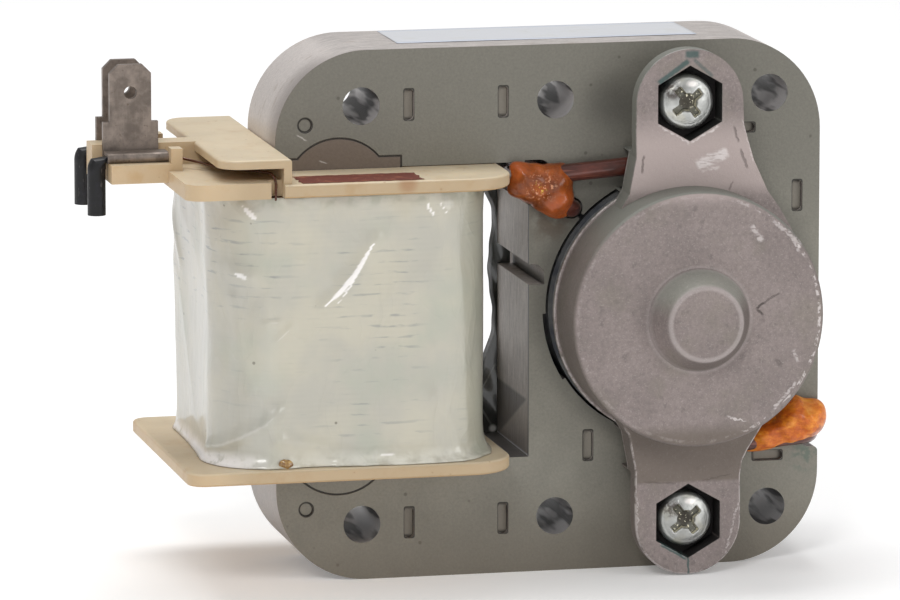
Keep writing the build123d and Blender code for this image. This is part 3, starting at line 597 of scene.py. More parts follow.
def varnish_finish():
    """Thick varnish: the upper drop brown with orange ends and a middle that glitters with painted
    highlights, the lower drop bright amber, streaked along its run, with a red-brown underside of painted
    shade."""
    look = Finish("joint_varnish", {
        "Coat Weight": 0.4, "Coat Roughness": 0.07, "Specular IOR Level": 0.3,
        "Subsurface Weight": 0.2, "Subsurface Radius": (0.0014, 0.0005, 0.0002)})
    clouds = look.noise(1.9, 4, 0.6, twist=0.5)
    brown = look.ramp(clouds, (0.3, linear(100, 46, 14)), (0.5, linear(134, 64, 16)),
                      (0.7, linear(168, 84, 22)))
    ends = look.near(-18.9, -9.0, 16.4, 1.9, 0.2).most(look.near(-14.0, -9.4, 12.2, 2.6, 0.45))
    ends = ends.most(look.near(-13.0, -9.4, 15.6, 1.3, 0.2) * 0.6)
    base = colours().varnish
    orange = look.ramp(clouds, (0.3, tint(base, 0.75)), (0.7, tint(base, 1.3)))
    dark = Coats(look, look.mix(ends, brown, orange))
    # painted highlights: sparkle and yellow glints on the upper drop's middle
    sparkle_highlight = look.near(-16.4, -10.4, 14.5, 2.6, 0.2) * look.noise(0.32, 2, 0.6).rises(0.56, 0.66)
    dark.paint(sparkle_highlight * 0.8, 236, 172, 132)
    spark_highlights = look.noise(0.3, 2, shift=(6, 6, 6)).rises(0.6, 0.68)
    dark.paint(look.near(-16.6, -10.6, 14.4, 1.0, 0.2) * spark_highlights, 250, 226, 90)
    run = look.noise(0.5, 3, 0.6, stretch=(2.6, 2, 1), shift=(2, 5, 1))
    pale = Coats(look, look.ramp(
        clouds * 0.6 + run * 0.4, (0.3, linear(164, 66, 10)), (0.46, linear(208, 104, 18)),
        (0.58, linear(234, 138, 34)), (0.7, linear(250, 184, 84))))
    # painted shade on the lower drop's underside and where it meets the bracket
    under = look.near(16.6, -9.8, -15.2, 2.0, 0.2).most(look.near(11.8, -9.4, -13.6, 1.2, 0.2))
    pale.paint(under * look.noise(0.8, 3, shift=(9, 1, 1)).rises(0.35, 0.55) * 0.75, 128, 58, 34)
    wrinkle = look.noise(1.1, 3, 0.55, twist=0.5) * 0.8 + look.noise(0.3, 2) * 0.2
    return look.done(look.mix(look.z.falls(-2, 2), dark, pale), 0.3 + 0.2 * clouds,
                     look.bump(wrinkle, 0.25, 0.9))


# Bright rubs on the brackets in the front view: start, end, half width and strength.
RUBS = (
    ((0.8, 16.9), (4.4, 18.3), 0.85, 1.0), ((1.4, 16.3), (3.4, 16.6), 0.3, 0.7),
    ((8.6, 11.0), (11.9, 8.2), 0.3, 0.6), ((10.4, 9.9), (11.6, 7.4), 0.2, 0.6),
    ((6.0, 10.5), (7.3, 8.7), 0.42, 0.7), ((11.0, -3.9), (11.6, -5.2), 0.3, 0.6),
    ((3.3, -11.3), (5.5, -11.9), 0.12, 0.9), ((-3.6, 21.55), (-0.1, 19.45), 0.14, 0.8),
    ((0.2, 19.5), (3.3, 21.3), 0.17, 0.9), ((8.7, -10.6), (11.4, -7.6), 0.22, 0.7),
    ((-3.4, -26.3), (-0.2, -28.2), 0.16, 0.8), ((0.3, -28.1), (1.2, -27.6), 0.16, 0.8),
    ((5.9, -22.0), (4.4, -28.0), 0.14, 0.5), ((-6.0, -21.0), (-5.9, -25.0), 0.12, 0.5),
    ((7.4, 17.2), (6.1, 21.9), 0.12, 0.5),
)
# Dark cracks and scratches, and in the last two lines painted shade where the lower neck meets the tab, in
# the same way.
CRACKS_AND_SHADE_LINES = (
    ((7.5, 1.7), (9.3, 2.7), 0.15, 0.6), ((6.65, 1.0), (7.6, 1.75), 0.18, 1.0),
    ((6.65, 1.0), (7.4, 0.25), 0.15, 0.9), ((8.9, -4.9), (9.6, -5.6), 0.3, 0.5),
    ((-5.4, 18.2), (-5.6, 16.2), 0.16, 0.7), ((5.1, 21.2), (5.7, 19.4), 0.14, 0.6),
    ((5.9, 18.6), (6.7, 16.4), 0.2, 0.6), ((4.6, 13.9), (5.0, 14.9), 0.14, 0.5),
    ((-5.2, -19.3), (-1.5, -19.6), 0.12, 0.3), ((1.5, -19.4), (4.9, -18.8), 0.12, 0.3),
)
# Green paint left on the ends of the front bracket, in the same way.
UPPER_DAUBS = (
    ((-0.6, 29.6), (1.0, 29.6), 0.6, 1), ((-3.7, 26.4), (-0.2, 28.9), 0.42, 1),
    ((0.4, 29.0), (2.6, 27.0), 0.3, 0.6),
)
LOWER_DAUBS = (((0.0, -28.2), (0.1, -30.2), 0.16, 1), ((-3.2, -26.6), (-0.2, -28.4), 0.22, 1))


def casting_finish():
    """Speckled mauve-grey die casting with rubbed rims, scuffs, dark cracks and traces of green paint,
    painted light on upper webs and flanks, painted shade on flanks, low parts and in the pockets, and painted
    highlights and sparkle on edges and rings.
    """
    look, _, shade = mottled("bracket_casting", colours().casting, (0.3, 0.72), (0.9, 1.1), 7, 3, 0.55,
                             constants={"Specular IOR Level": 0.5})
    x, z, out = look.x, look.z, look.y.size()
    away = distance(x, z)
    speck = look.noise(0.42, 4, 0.75)
    shade.shade(0.56 + 0.88 * speck)
    dark = look.noise(0.9, 3, 0.6, shift=(7, 3, 2)).rises(0.6, 0.72)
    shade.paint(dark * 0.35, 92, 84, 82)
    # painted sparkle highlights in the grain
    sparkle_highlight = look.noise(0.2, 1, 0.5, shift=(1, 1, 1)).rises(0.62, 0.7)
    shade.paint(sparkle_highlight * 0.16, 196, 188, 184)
    olive = look.noise(5, 3, 0.6, shift=(4, 9, 4)).rises(0.5, 0.72)
    shade.paint(olive * 0.25, 124, 120, 104)
    face = look.facing_y.size().rises(0.7, 0.95)
    # painted shade on the flanks, and painted light on the upper flanks
    flank = away.rises(13.9, 14.3) * (1 - face)
    shade.paint(flank * 0.4, 98, 92, 84)
    shade.paint(flank * z.rises(6, 12) * 0.7, 128, 132, 124)
    # painted light on the upper web, lit from above
    web = z.between(12.5, 15.0, 19.0, 24) * face
    shade.tone(web * 0.85, 1.85)
    # painted shade on the lower neck
    neck = z.between(-19.7, -19.2, -13.5, -11.5) * face
    shade.paint(neck * 0.7, 106, 96, 86)
    # painted light on the boss cone's upper side and painted shade on its lower right
    cone = away.between(4.2, 4.5, 5.7, 6.1) * out.rises(18.7, 19.1)
    shade.paint(cone * z.rises(0.5, 3.5) * 0.45, 156, 164, 152)
    shade.paint(cone * (x * 0.7 - z * 0.7).rises(0, 3.5) * 0.6, 92, 84, 78)
    torn = look.noise(0.8, 3, 0.65, shift=(2, 8, 1))
    rim = away.between(13.8, 13.95, 14.15, 14.3) * out.rises(17.6, 18.3) * torn.rises(0.5, 0.6)
    boss = away.between(3.7, 4.0, 4.3, 4.6) * out.rises(20.9, 21.5)
    foot = away.between(5.5, 5.8, 6.0, 6.4) * out.between(18.4, 18.6, 19.3, 19.8)
    lip = out.between(10.2, 10.5, 10.6, 10.9) * away.rises(14.6, 14.8) * torn.rises(0.35, 0.6)
    edge = out.between(13.7, 13.85, 14.08, 14.14) * away.rises(14.8, 15.2) * torn.rises(0.36, 0.56)
    front = look.y.falls(-13.9, -13.6)
    brushed = look.noise(0.3, 2, 0.6, stretch=(4, 1, 1)).rises(0.3, 0.55)
    # painted highlights on the boss, foot, lip, plate edge and rim, with worn chips on the rim, and rubs
    bright = strongest((rim * (0.15 + 0.75 * x.rises(2, 10)), boss * 0.28, foot * 0.16, lip * 0.6, edge * 0.6,
                        look.streaks(RUBS, 0.7) * front * brushed))
    shade.paint(bright * 0.85, 214, 206, 204)
    # dark cracks and scratches, with painted shade lines at the lower neck's edge
    cracks_and_shade_lines = look.streaks(CRACKS_AND_SHADE_LINES, 0.4)
    shade.paint(cracks_and_shade_lines * front * 0.75, 66, 58, 54)
    # painted shade in the screw pockets
    pocket_shade = distance(x, z.size() - SCREWS_Z).falls(4.2, 4.45) * out.falls(14.0, 14.1)
    shade.paint(pocket_shade * 0.92, 14, 13, 14)
    daub = look.streaks(UPPER_DAUBS, 0.2).most(look.streaks(LOWER_DAUBS))
    shade.paint(daub * 0.8, 54, 84, 82)
    rough = 0.52 + 0.2 * speck - 0.2 * bright - 0.1 * sparkle_highlight
    height = speck * 0.8 + look.noise(1.4, 3) * 0.4 + bright * 0.4 - cracks_and_shade_lines * 1.5
    return look.done(shade, rough, look.bump(height, 0.07), 0.3 + 0.3 * bright)


def bronze_finish():
    """Oiled sintered bronze with fine pores."""
    look, pores, shade = mottled("bearing_bronze", colours().bronze, (0.4, 0.6), (0.7, 1.2), 0.3, 3, 0.7)
    return look.done(shade, 0.3 + 0.2 * pores, look.bump(pores, 0.04), 0.8)


def felt_finish():
    """Matted felt, darker where it holds oil."""
    look, hairs, shade = mottled("oil_felt", colours().felt, (0.35, 0.65), (0.75, 1.1), 0.3, 4, 0.7,
                                 stretch=(1, 3, 1), twist=1.2, constants={"Sheen Weight": 0.3})
    oil = look.noise(3, 2, 0.5).rises(0.4, 0.65)
    shade.paint(oil * 0.5, 134, 112, 70)
    return look.done(shade, 0.85 + 0.1 * hairs, look.bump(hairs, 0.2))


def spring_finish():
    """Bright rolled spring steel."""
    look = Finish("spring_steel")
    rolled = look.noise(0.6, 2, 0.6, stretch=(9, 1, 0.4))
    shade = Coats(look, linear(128, 129, 132))
    shade.paint(rolled.rises(0.35, 0.7), 178, 179, 181)
    return look.done(shade, 0.26 + 0.16 * rolled, look.bump(rolled, 0.02), 0.9)


def cage_finish():
    """Cast aluminium with a turned rim and small pores."""
    look, grain, shade = mottled("cage_aluminium", colours().cage, (0.35, 0.65), (0.75, 1), 0.5, 3, 0.65)
    pores = look.cells(1.1).falls(0.08, 0.16)
    turned = (look.y * (TURN / 0.18)).sine()
    shade.tone(pores * 0.4, 0.35)
    return look.done(shade, 0.4 + 0.2 * grain, look.bump(grain + turned * 0.2 - pores, 0.05), 0.8)


def rotor_finish():
    """Turned lamination edges, blued dark between bright lines."""
    look = Finish("rotor_steel")
    lines = (look.y * (TURN / LAMINATION)).sine()
    blue = look.noise(4, 3, 0.6)
    shade = Coats(look, linear(86, 88, 94))
    shade.paint(blue.rises(0.35, 0.65), 122, 122, 120)
    shade.shade(0.9 + 0.1 * lines)
    return look.done(shade, 0.34 + 0.14 * blue, look.bump(lines, 0.02), 0.7)


def shaft_finish():
    """Ground steel with fine rings round the shaft and faint oil marks."""
    look, rings, shade = mottled("shaft_steel", colours().shaft, (0.35, 0.7), (0.82, 1.15), 0.5, 2, 0.6,
                                 stretch=(6, 0.16, 6))
    oil = look.noise(5, 3, 0.6, stretch=(1, 2, 1)).rises(0.5, 0.7)
    shade.paint(oil * 0.25, 128, 112, 88)
    return look.done(shade, 0.2 + 0.16 * rings + 0.1 * oil, look.bump(rings, 0.015), 0.95)


def collar_finish():
    """White nylon, faintly mottled."""
    look, clouds, shade = mottled(
        "collar_plastic", colours().collar, (0.35, 0.7), (0.88, 1), 1.2, 3, 0.6,
        constants={"Subsurface Weight": 0.15, "Subsurface Radius": (0.001, 0.001, 0.001)})
    return look.done(shade, 0.38 + 0.15 * clouds, look.bump(clouds, 0.03))


def zinc_finish():
    """Bright zinc with faint yellow and blue bloom, painted shade in the recess, darkest at its middle, with
    painted glints, and a painted dark reflection and glare on the head.
    """
    look, clouds, shade = mottled("screw_zinc", colours().zinc, (0.35, 0.7), (0.82, 1.08), 1.5, 3, 0.6)
    bloom = look.noise(2.2, 2, 0.5, shift=(5, 5, 5))
    shade.paint(bloom.rises(0.5, 0.7) * 0.3, 196, 188, 158)
    x, up = look.x, (look.z.size() - SCREWS_Z) * (look.z.rises(-1, 1) * 2 - 1)
    left, above = x + 1.7, up - 1.3
    # painted dark reflection on the head's upper left
    painted_dark_reflection = (left * left * 0.6 + above * above).power(0.5)
    dull = look.noise(0.5, 3, 0.6, twist=0.6)
    shade.paint(painted_dark_reflection.falls(0.5, 1.35) * dull.rises(0.25, 0.6) * 0.85, 74, 64, 60)
    left, above = x - 0.5, up - 2.1
    glare = (left * left * 0.3 + above * above).power(0.5)
    shade.paint(glare.falls(0.15, 0.5), 255, 250, 246)
    # painted shade in the cross recess, darkest at its middle
    hollow = look.painted("fold")
    shade.paint(hollow.rises(0.3, 0.9) * 0.8, 88, 86, 74)
    shade.paint(hollow.rises(0.8, 1.0) * distance(x, up).falls(0.6, 1.1) * 0.7, 48, 40, 34)
    glint = hollow.between(0.2, 0.4, 0.6, 0.8) * dull.rises(0.4, 0.5)
    glint = glint.most(hollow.rises(0.6, 0.9) * look.noise(0.35, 2, 0.6, shift=(4, 0, 1)).rises(0.6, 0.68))
    shade.paint(glint, 246, 240, 216)
    grain = look.noise(0.25, 2, 0.7)
    return look.done(shade, 0.26 + 0.14 * grain + 0.1 * hollow,
                     look.bump(grain + clouds + hollow * dull * 2, 0.05), 0.75)


def label_finish():
    """Bare satin label with pale blue bands along both edges and soft dirt."""
    look = Finish("label_white", {"Coat Weight": 0.3, "Coat Roughness": 0.25})
    shade = Coats(look, colours().label)
    band = (look.y - 1.75).size().rises(4.1, 4.4)
    shade.paint(band * 0.35, 186, 200, 224)
    dirt = look.noise(3.5, 4, 0.6).rises(0.5, 0.75)
    shade.paint(dirt * 0.3, 196, 194, 184)
    return look.done(shade, 0.38 + 0.15 * dirt, look.bump(look.noise(1.5, 3), 0.04))


def patch_finish():
    """Bare red-brown ink, thin in places so that the cream shows."""
    look = Finish("flange_ink", {"Specular IOR Level": 0.4})
    shade = Coats(look, colours().patch)
    worn = look.noise(1.1, 4, 0.65)
    shade.paint(worn.rises(0.45, 0.75) * 0.6, 160, 98, 72)
    shade.paint(look.noise(0.4, 3, shift=(3, 1, 2)).rises(0.64, 0.74) * 0.5, 196, 152, 112)
    return look.done(shade, 0.5 + 0.2 * worn, look.bump(worn, 0.03))


def resin_finish():
    """A brown drop of resin."""
    look = Finish("resin_drop", {"Coat Weight": 0.9, "Coat Roughness": 0.08})
    clouds = look.noise(0.6, 3, 0.6)
    shade = Coats(look, linear(122, 84, 40))
    shade.paint(clouds.rises(0.35, 0.65), 186, 150, 88)
    return look.done(shade, 0.3 + 0.15 * clouds, look.bump(clouds, 0.05))


# Making pieces


def dress(finish, *nodes):
    """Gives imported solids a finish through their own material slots."""
    for name in nodes:
        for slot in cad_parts[name].material_slots:
            slot.material = finish


def mesh_of(name, grid, around=False):
    """A mesh from a grid of points in millimetres, rows by columns. The rows may close."""
    rows, columns = grid.shape[:2]
    index = np.arange(rows * columns).reshape(rows, columns)
    if around:
        index = np.concatenate([index, index[:, :1]], axis=1)
    quads = np.stack([index[:-1, :-1], index[:-1, 1:], index[1:, 1:], index[1:, :-1]], axis=-1).reshape(-1, 4)
    mesh = bpy.data.meshes.new(name)
    mesh.from_pydata((grid.reshape(-1, 3) * MM).tolist(), [], quads.tolist())
    mesh.update()
    return mesh


def tidied(mesh):
    """Poles and seams closed, faces pointing outwards, smooth shading."""
    work = bmesh.new()
    work.from_mesh(mesh)
    bmesh.ops.remove_doubles(work, verts=work.verts, dist=1e-7)
    bmesh.ops.recalc_face_normals(work, faces=work.faces)
    work.to_mesh(mesh)
    work.free()
    mesh.shade_smooth()
    return mesh


def paint(mesh, name, numbers):
    """Keeps one number for each point of a mesh."""
    layer = mesh.attributes.new(name, "FLOAT", "POINT")
    layer.data.foreach_set("value", np.ascontiguousarray(numbers, np.float32).ravel())


def piece(name, mesh, finish, slot, *nodes):
    """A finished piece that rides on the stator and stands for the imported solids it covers."""
    made = bpy.data.objects.new(name, mesh)
    bpy.context.scene.collection.objects.link(made)
    made.data.materials.append(finish)
    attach(made, "stator")
    if nodes:
        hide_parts(*nodes)
    return made


def thickened(made, thickness, offset):
    """Gives a sheet its thickness in millimetres and puts the result in the piece's mesh."""
    wall = made.modifiers.new("wall", "SOLIDIFY")
    wall.thickness, wall.offset = thickness * MM, offset
    bpy.context.view_layer.update()
    shaped = bpy.data.meshes.new_from_object(made.evaluated_get(bpy.context.evaluated_depsgraph_get()))
    made.modifiers.clear()
    made.data = shaped
    shaped.shade_smooth()


def step_up(value, low, high):
    """From 0 at the low end to 1 at the high end, easing at both."""
    share = np.clip((value - low) / (high - low), 0, 1)
    return share * share * (3 - 2 * share)


def waves(around, height, length, count, finest, tallest, seed):
    """A sum of sine waves that close round the coil, each weaker the finer it is, about -1 to 1."""
    chance = np.random.default_rng(seed)
    total = np.zeros(np.broadcast(around, height).shape)
    weight = 0.0
    for _ in range(count):
        turns = chance.integers(1, finest + 1)
        rise = chance.uniform(-tallest, tallest)
        share = 1 / math.sqrt(turns)
        weight += share * share
        start = chance.uniform(0, TURN)
        total += share * np.sin(TURN * turns * around / length + rise * height + start)
    return total / math.sqrt(weight * 2)


def rounded_run(half_x, half_y, corner, steps):
    """Places and headings round a rectangle with round corners: the heading is constant on a side
    and grows evenly with length on a corner, and places are the running sum of short steps along it."""
    side_x, side_y, bend = 2 * (half_x - corner), 2 * (half_y - corner), math.pi * corner / 2
    runs = np.array([0, side_x, bend, side_y, bend, side_x, bend, side_y, bend])
    knots = np.cumsum(runs)
    turns = np.pi / 2 * np.array([0, 0, 1, 1, 2, 2, 3, 3, 4])
    length = knots[-1]
    middle = (np.arange(steps) + 0.5) * length / steps
    heading = np.interp(middle, knots, turns)
    pace = np.stack([np.cos(heading), np.sin(heading)], axis=-1) * length / steps
    places = np.concatenate([[[0, 0]], np.cumsum(pace, axis=0)[:-1]]) + [corner - half_x, -half_y]
    walked = np.arange(steps) * length / steps
    heading = np.interp(walked, knots, turns)
    outwards = np.stack([np.sin(heading), -np.cos(heading)], axis=-1)
    return places, outwards, walked, length


# Creases on the film: places along each as (length round the coil from the front's middle, height), then the
# share of the crease height, the half width in millimetres, and how white the crease is painted, as a painted
# highlight and as whitened stretched film.
CREASES = (
    (((-4.0, 2.7), (-2.2, 4.3), (-0.3, 6.4), (1.0, 8.5), (1.9, 10.0)), 1.2, 1.0, 1.0),
    (((-2.4, 3.0), (-1.0, 4.9), (0.6, 7.7)), 0.3, 0.42, 0.8),
    (((-12.9, 14.3), (-11.2, 12.7)), 0.9, 1.1, 0.9), (((-13.9, 6.6), (-12.2, 6.1)), 0.8, 0.95, 0.9),
    (((-14.1, 3.7), (-13.2, -2.4), (-11.8, -6.6), (-10.1, -9.3), (-9.0, -12.2)), 0.9, 0.9, 0.12),
    (((-18.2, -13.6), (-15.4, -13.0), (-13.2, -12.0), (-10.4, -10.4), (-9.2, -9.0)), 1.6, 0.8, 0.3),
    (((-19.5, 15.6), (-20.4, 8.4), (-18.4, 1.8), (-17.4, -1.6), (-17.6, -6.0)), 0.7, 1.8, 0.15),
    (((-9.0, -12.2), (-4.0, -13.0), (-1.0, -14.8)), 0.7, 0.9, 0.1),
    (((7.9, 14.4), (8.2, 13.4), (8.9, 12.5)), 0.8, 0.55, 0.9), (((9.3, 14.2), (10.1, 12.9)), 0.6, 0.35, 0.8),
    (((5.6, 12.4), (6.2, 5.0)), 0.6, 1.4, 0.0), (((10.6, 13.2), (11.8, 3.6), (12.6, -12.0)), 0.8, 1.2, 0.0),
    (((1.2, 14.6), (2.4, 10.4)), 0.6, 1.0, 0.1), (((-9.2, -1.0), (-7.6, 0.6)), 0.5, 0.5, 0.35),
    (((-10.6, 1.0), (-9.0, 1.2)), 0.4, 0.35, 0.3), (((2.2, -14.2), (5.2, -14.5)), 0.9, 0.4, 0.8),
    (((8.6, -8.0), (10.8, -11.4), (11.6, -14.6)), 0.9, 0.9, 0.1),
    (((-2.2, -3.0), (3.4, -8.6)), 0.4, 1.6, 0.0),
    (((24.0, 12.0), (27.0, -6.0)), 0.8, 1.2, 0.0), (((36.0, 9.0), (44.0, 2.0)), 1.0, 1.0, 0.3),
    (((48.0, -3.0), (40.0, -9.0)), 0.9, 0.9, 0.0), (((58.0, 12.0), (55.0, 1.0)), 0.7, 1.1, 0.0),
    (((62.0, -12.0), (70.0, -6.0)), 0.9, 0.9, 0.3), (((74.0, 11.0), (80.0, 5.0)), 0.8, 0.9, 0.0),
)

# The film's corner radius, how far it lies inside its solid's box, and its rows of points.
FILM_CORNER = 7.0
FILM_INSET = 0.02
FILM_ROWS = 120


def film_mesh():
    """The wrapped film: a rounded rectangle carried up the coil, pushed out by soft waves, by ridges
    where waves cross zero, by narrow creases along lines, and by a foot that spreads at the bottom."""
    low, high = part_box("coil_wrap")
    low, high = np.array(low) / MM, np.array(high) / MM
    center, half = (low + high) / 2, (high - low) / 2
    half_x, half_y = half[:2] - FILM_INSET
    places, outwards, walked, length = rounded_run(half_x, half_y, FILM_CORNER, sizes().film_steps)
    around = (walked - (half_x - FILM_CORNER))[None, :]
    height = np.linspace(low[2], high[2], FILM_ROWS)[:, None]
    soft = waves(around, height, length, count=14, finest=6, tallest=0.2, seed=3)
    ridges = waves(around, height, length, count=16, finest=7, tallest=0.25, seed=11)
    ridges = np.clip(1 - np.abs(ridges) * 1.1, 0, 1) ** 2
    small = waves(around, height, length, count=24, finest=18, tallest=0.7, seed=29)
    small = np.clip(1 - np.abs(small) * 1.3, 0, 1) ** 2
    fold, crease = sizes().film_fold / MM, sizes().film_crease / MM
    push = fold * (0.45 + 0.4 * soft + 0.3 * ridges + 0.05 * small)
    # white: the painted highlight along the creases, also standing for whitened film
    white = np.zeros(push.shape)
    for places_along, share, width, pale in CREASES:
        line = np.array(places_along)
        spans = np.hypot(*(line[1:] - line[:-1]).T)
        across, along = np.full(push.shape, 99.0), np.zeros(push.shape)
        for (s0, z0), (us, uz), span, before in zip(
                line[:-1], (line[1:] - line[:-1]) / spans[:, None], spans, np.cumsum(spans) - spans):
            away = (around - s0 + length / 2) % length - length / 2
            walk = np.clip(away * us + (height - z0) * uz, 0, span)
            distance = np.hypot(away - walk * us, height - z0 - walk * uz)
            along = np.where(distance < across, before + walk, along)
            across = np.minimum(across, distance)
        taper = np.sin(along / spans.sum() * math.pi) ** 0.7
        push = push + crease * share * np.exp(-((across / width) ** 1.5))
        lens = np.maximum(0.42 * width * taper, 1e-3)
        white = np.maximum(white, pale * (1 - step_up(across, lens * 0.4, lens)) * step_up(taper, 0.02, 0.2))
    top = np.exp(-(high[2] - height) / 1.3)
    scallops = 19
    push = push + 0.55 * top * (0.5 + 0.5 * np.sin(TURN * scallops * around / length + 2.2 * soft))
    bottom = np.exp(-(height - low[2]) / 0.75)
    corner = np.exp(-(((around + 19.5) / 6.0) ** 2))
    push = push + sizes().film_foot / MM * bottom * (0.75 + 0.6 * corner + 0.3 * soft + 0.25 * small)
    push = np.clip(push, -0.2, 1.75)
    flat = places[None] + outwards[None] * push[..., None]
    heights = np.broadcast_to(height, push.shape)[..., None]
    grid = np.concatenate([flat + center[None, None, :2], heights], axis=-1)
    mesh = mesh_of("coil_film", grid, around=True)
    paint(mesh, "fold", np.clip(white, 0, 1))
    mesh.shade_smooth()
    return mesh


# The loose film's left edge in the front view, as x and z, its straight right edge and its place behind.
LOOSE_EDGE = (
    (-19.6, -17.5), (-19.8, -12.5), (-19.8, -10.8), (-19.3, -8.7), (-18.7, -8.0), (-17.9, -5.6),
    (-17.7, -3.9), (-17.8, -1.5), (-18.15, 0.8), (-18.15, 2.9), (-17.9, 5.5), (-17.8, 7.6),
    (-17.45, 8.6), (-17.9, 9.6), (-18.75, 11.3), (-19.4, 14.5),
)
LOOSE_RIGHT, LOOSE_Y = -15.6, 8.0


def flap_mesh():
    """The film's loose edge behind the stack: a wavy left edge given at heights and joined smoothly,
    and a straight right edge, with shallow waves between them."""
    left, heights = np.array(LOOSE_EDGE).T
    z = np.linspace(heights[0], heights[-1], 140)[:, None]
    share = np.linspace(0, 1, 30)[None, :]
    edge = np.pad(np.interp(z[:, 0], heights, left), 6, mode="edge")
    edge = np.convolve(edge, np.full(13, 1 / 13), "valid")
    edge = edge[:, None] + 0.05 * np.sin(z * 2.1)
    x = edge + (LOOSE_RIGHT - edge) * share
    y = LOOSE_Y + 0.3 * (1 - share) * (1 + np.sin(z * 0.45 + 2 * share)) + 0.04 * np.sin(1.4 * x + 0.8 * z)
    grid = np.stack(np.broadcast_arrays(x, y, z), axis=-1)
    mesh = mesh_of("loose_film_edge", grid)
    # rim: where the painted highlight lies along the torn edge
    rim = (1 - step_up(x - edge, 0.25, 0.6)) * (0.75 + 0.25 * np.sin(z * 0.8))
    paint(mesh, "fold", np.broadcast_to(rim, x.shape))
    return mesh


# How far a drop reaches in behind its outline.
DROP_DEPTH = 0.7

# The varnish drops in the front view: outlines (x, z), and lumps on them (x, z, reach, height).
UPPER_DROP = (
    (-19.7, 17.0), (-18.7, 17.25), (-17.4, 16.9), (-15.7, 16.7), (-14.4, 16.8), (-13.2, 16.9), (-12.4, 16.2),
    (-12.2, 15.0), (-12.3, 13.9), (-12.1, 12.4), (-12.5, 10.9), (-14.0, 10.4), (-15.7, 11.2), (-17.2, 12.3),
    (-18.6, 13.0), (-19.8, 13.4), (-19.9, 14.4), (-19.3, 15.6),
)
UPPER_LUMPS = (
    (-18.6, 16.2, 1.3, 0.3), (-16.2, 14.4, 1.7, 0.5), (-13.6, 15.4, 1.2, 0.5), (-13.8, 12.4, 1.5, 0.8),
)
LOWER_DROP = (
    (7.2, -17.1), (8.0, -15.2), (9.8, -14.3), (10.7, -13.8), (11.8, -12.8), (12.2, -12.0), (13.2, -11.1),
    (14.3, -11.0), (15.0, -11.4), (15.8, -11.5), (16.5, -11.5), (17.1, -11.75), (17.5, -12.2), (17.75, -12.9),
    (17.8, -13.6), (17.6, -14.5), (17.2, -15.2), (16.4, -15.8), (15.6, -16.2), (14.6, -16.55), (13.6, -16.7),
    (12.6, -16.8), (11.8, -16.9), (10.9, -17.1),
)
LOWER_LUMPS = (
    (15.8, -13.7, 2.0, 0.9), (13.2, -14.2, 1.8, 0.4), (10.0, -15.8, 1.6, 0.5), (13.2, -12.2, 1.2, 1.1),
)

# The resin drop at the foot of the film, in the same way.
RESIN_DROP = (
    (-48.1, -14.9), (-47.9, -14.5), (-47.2, -14.4), (-46.6, -14.6), (-46.4, -15.0), (-46.8, -15.3),
    (-47.8, -15.3),
)


def drop_mesh(name, outline, lumps, back, tall):
    """A drop of varnish: rings from the outline's middle out to it and back behind, whose height is a
    round cushion with lumps and slow waves. The outline is joined smoothly through its turning angle."""
    corners = np.array(outline)
    middle = corners.mean(axis=0)
    spokes = corners - middle
    angle = np.arctan2(spokes[:, 1], spokes[:, 0])
    order = np.argsort(angle)
    turn = np.linspace(-np.pi, np.pi, 220, endpoint=False)
    reach = np.interp(turn, angle[order], np.hypot(*spokes.T)[order], period=2 * np.pi)
    reach = np.convolve(np.pad(reach, 4, mode="wrap"), np.full(9, 1 / 9), "valid")
    share = np.sin(np.linspace(0, np.pi / 2, 60))[:, None]
    wobble = 0.06 * np.sin(5 * turn + 1) * share * (1 - share)
    x = middle[0] + np.cos(turn) * reach * (share + wobble)
    z = middle[1] + np.sin(turn) * reach * (share + wobble)
    cushion = np.sqrt(np.clip(1 - share ** 2.6, 0, 1))
    height = tall + 0.12 * np.sin(x * 1.9 + z * 1.1) + 0.1 * np.sin(z * 2.6 - x)
    height = height + 0.05 * np.sin(4.1 * x + 3.3 * z)
    for lx, lz, spread, swell in lumps:
        height = height + swell * np.exp(-((x - lx) ** 2 + (z - lz) ** 2) / spread ** 2)
    front = back - DROP_DEPTH - cushion * height
    behind = np.broadcast_to(back - DROP_DEPTH + DROP_DEPTH * cushion, x.shape)
    grid = np.concatenate([np.stack([x, front, z], axis=-1), np.stack([x, behind, z], axis=-1)[-2::-1]])
    return tidied(mesh_of(name, grid, around=True))


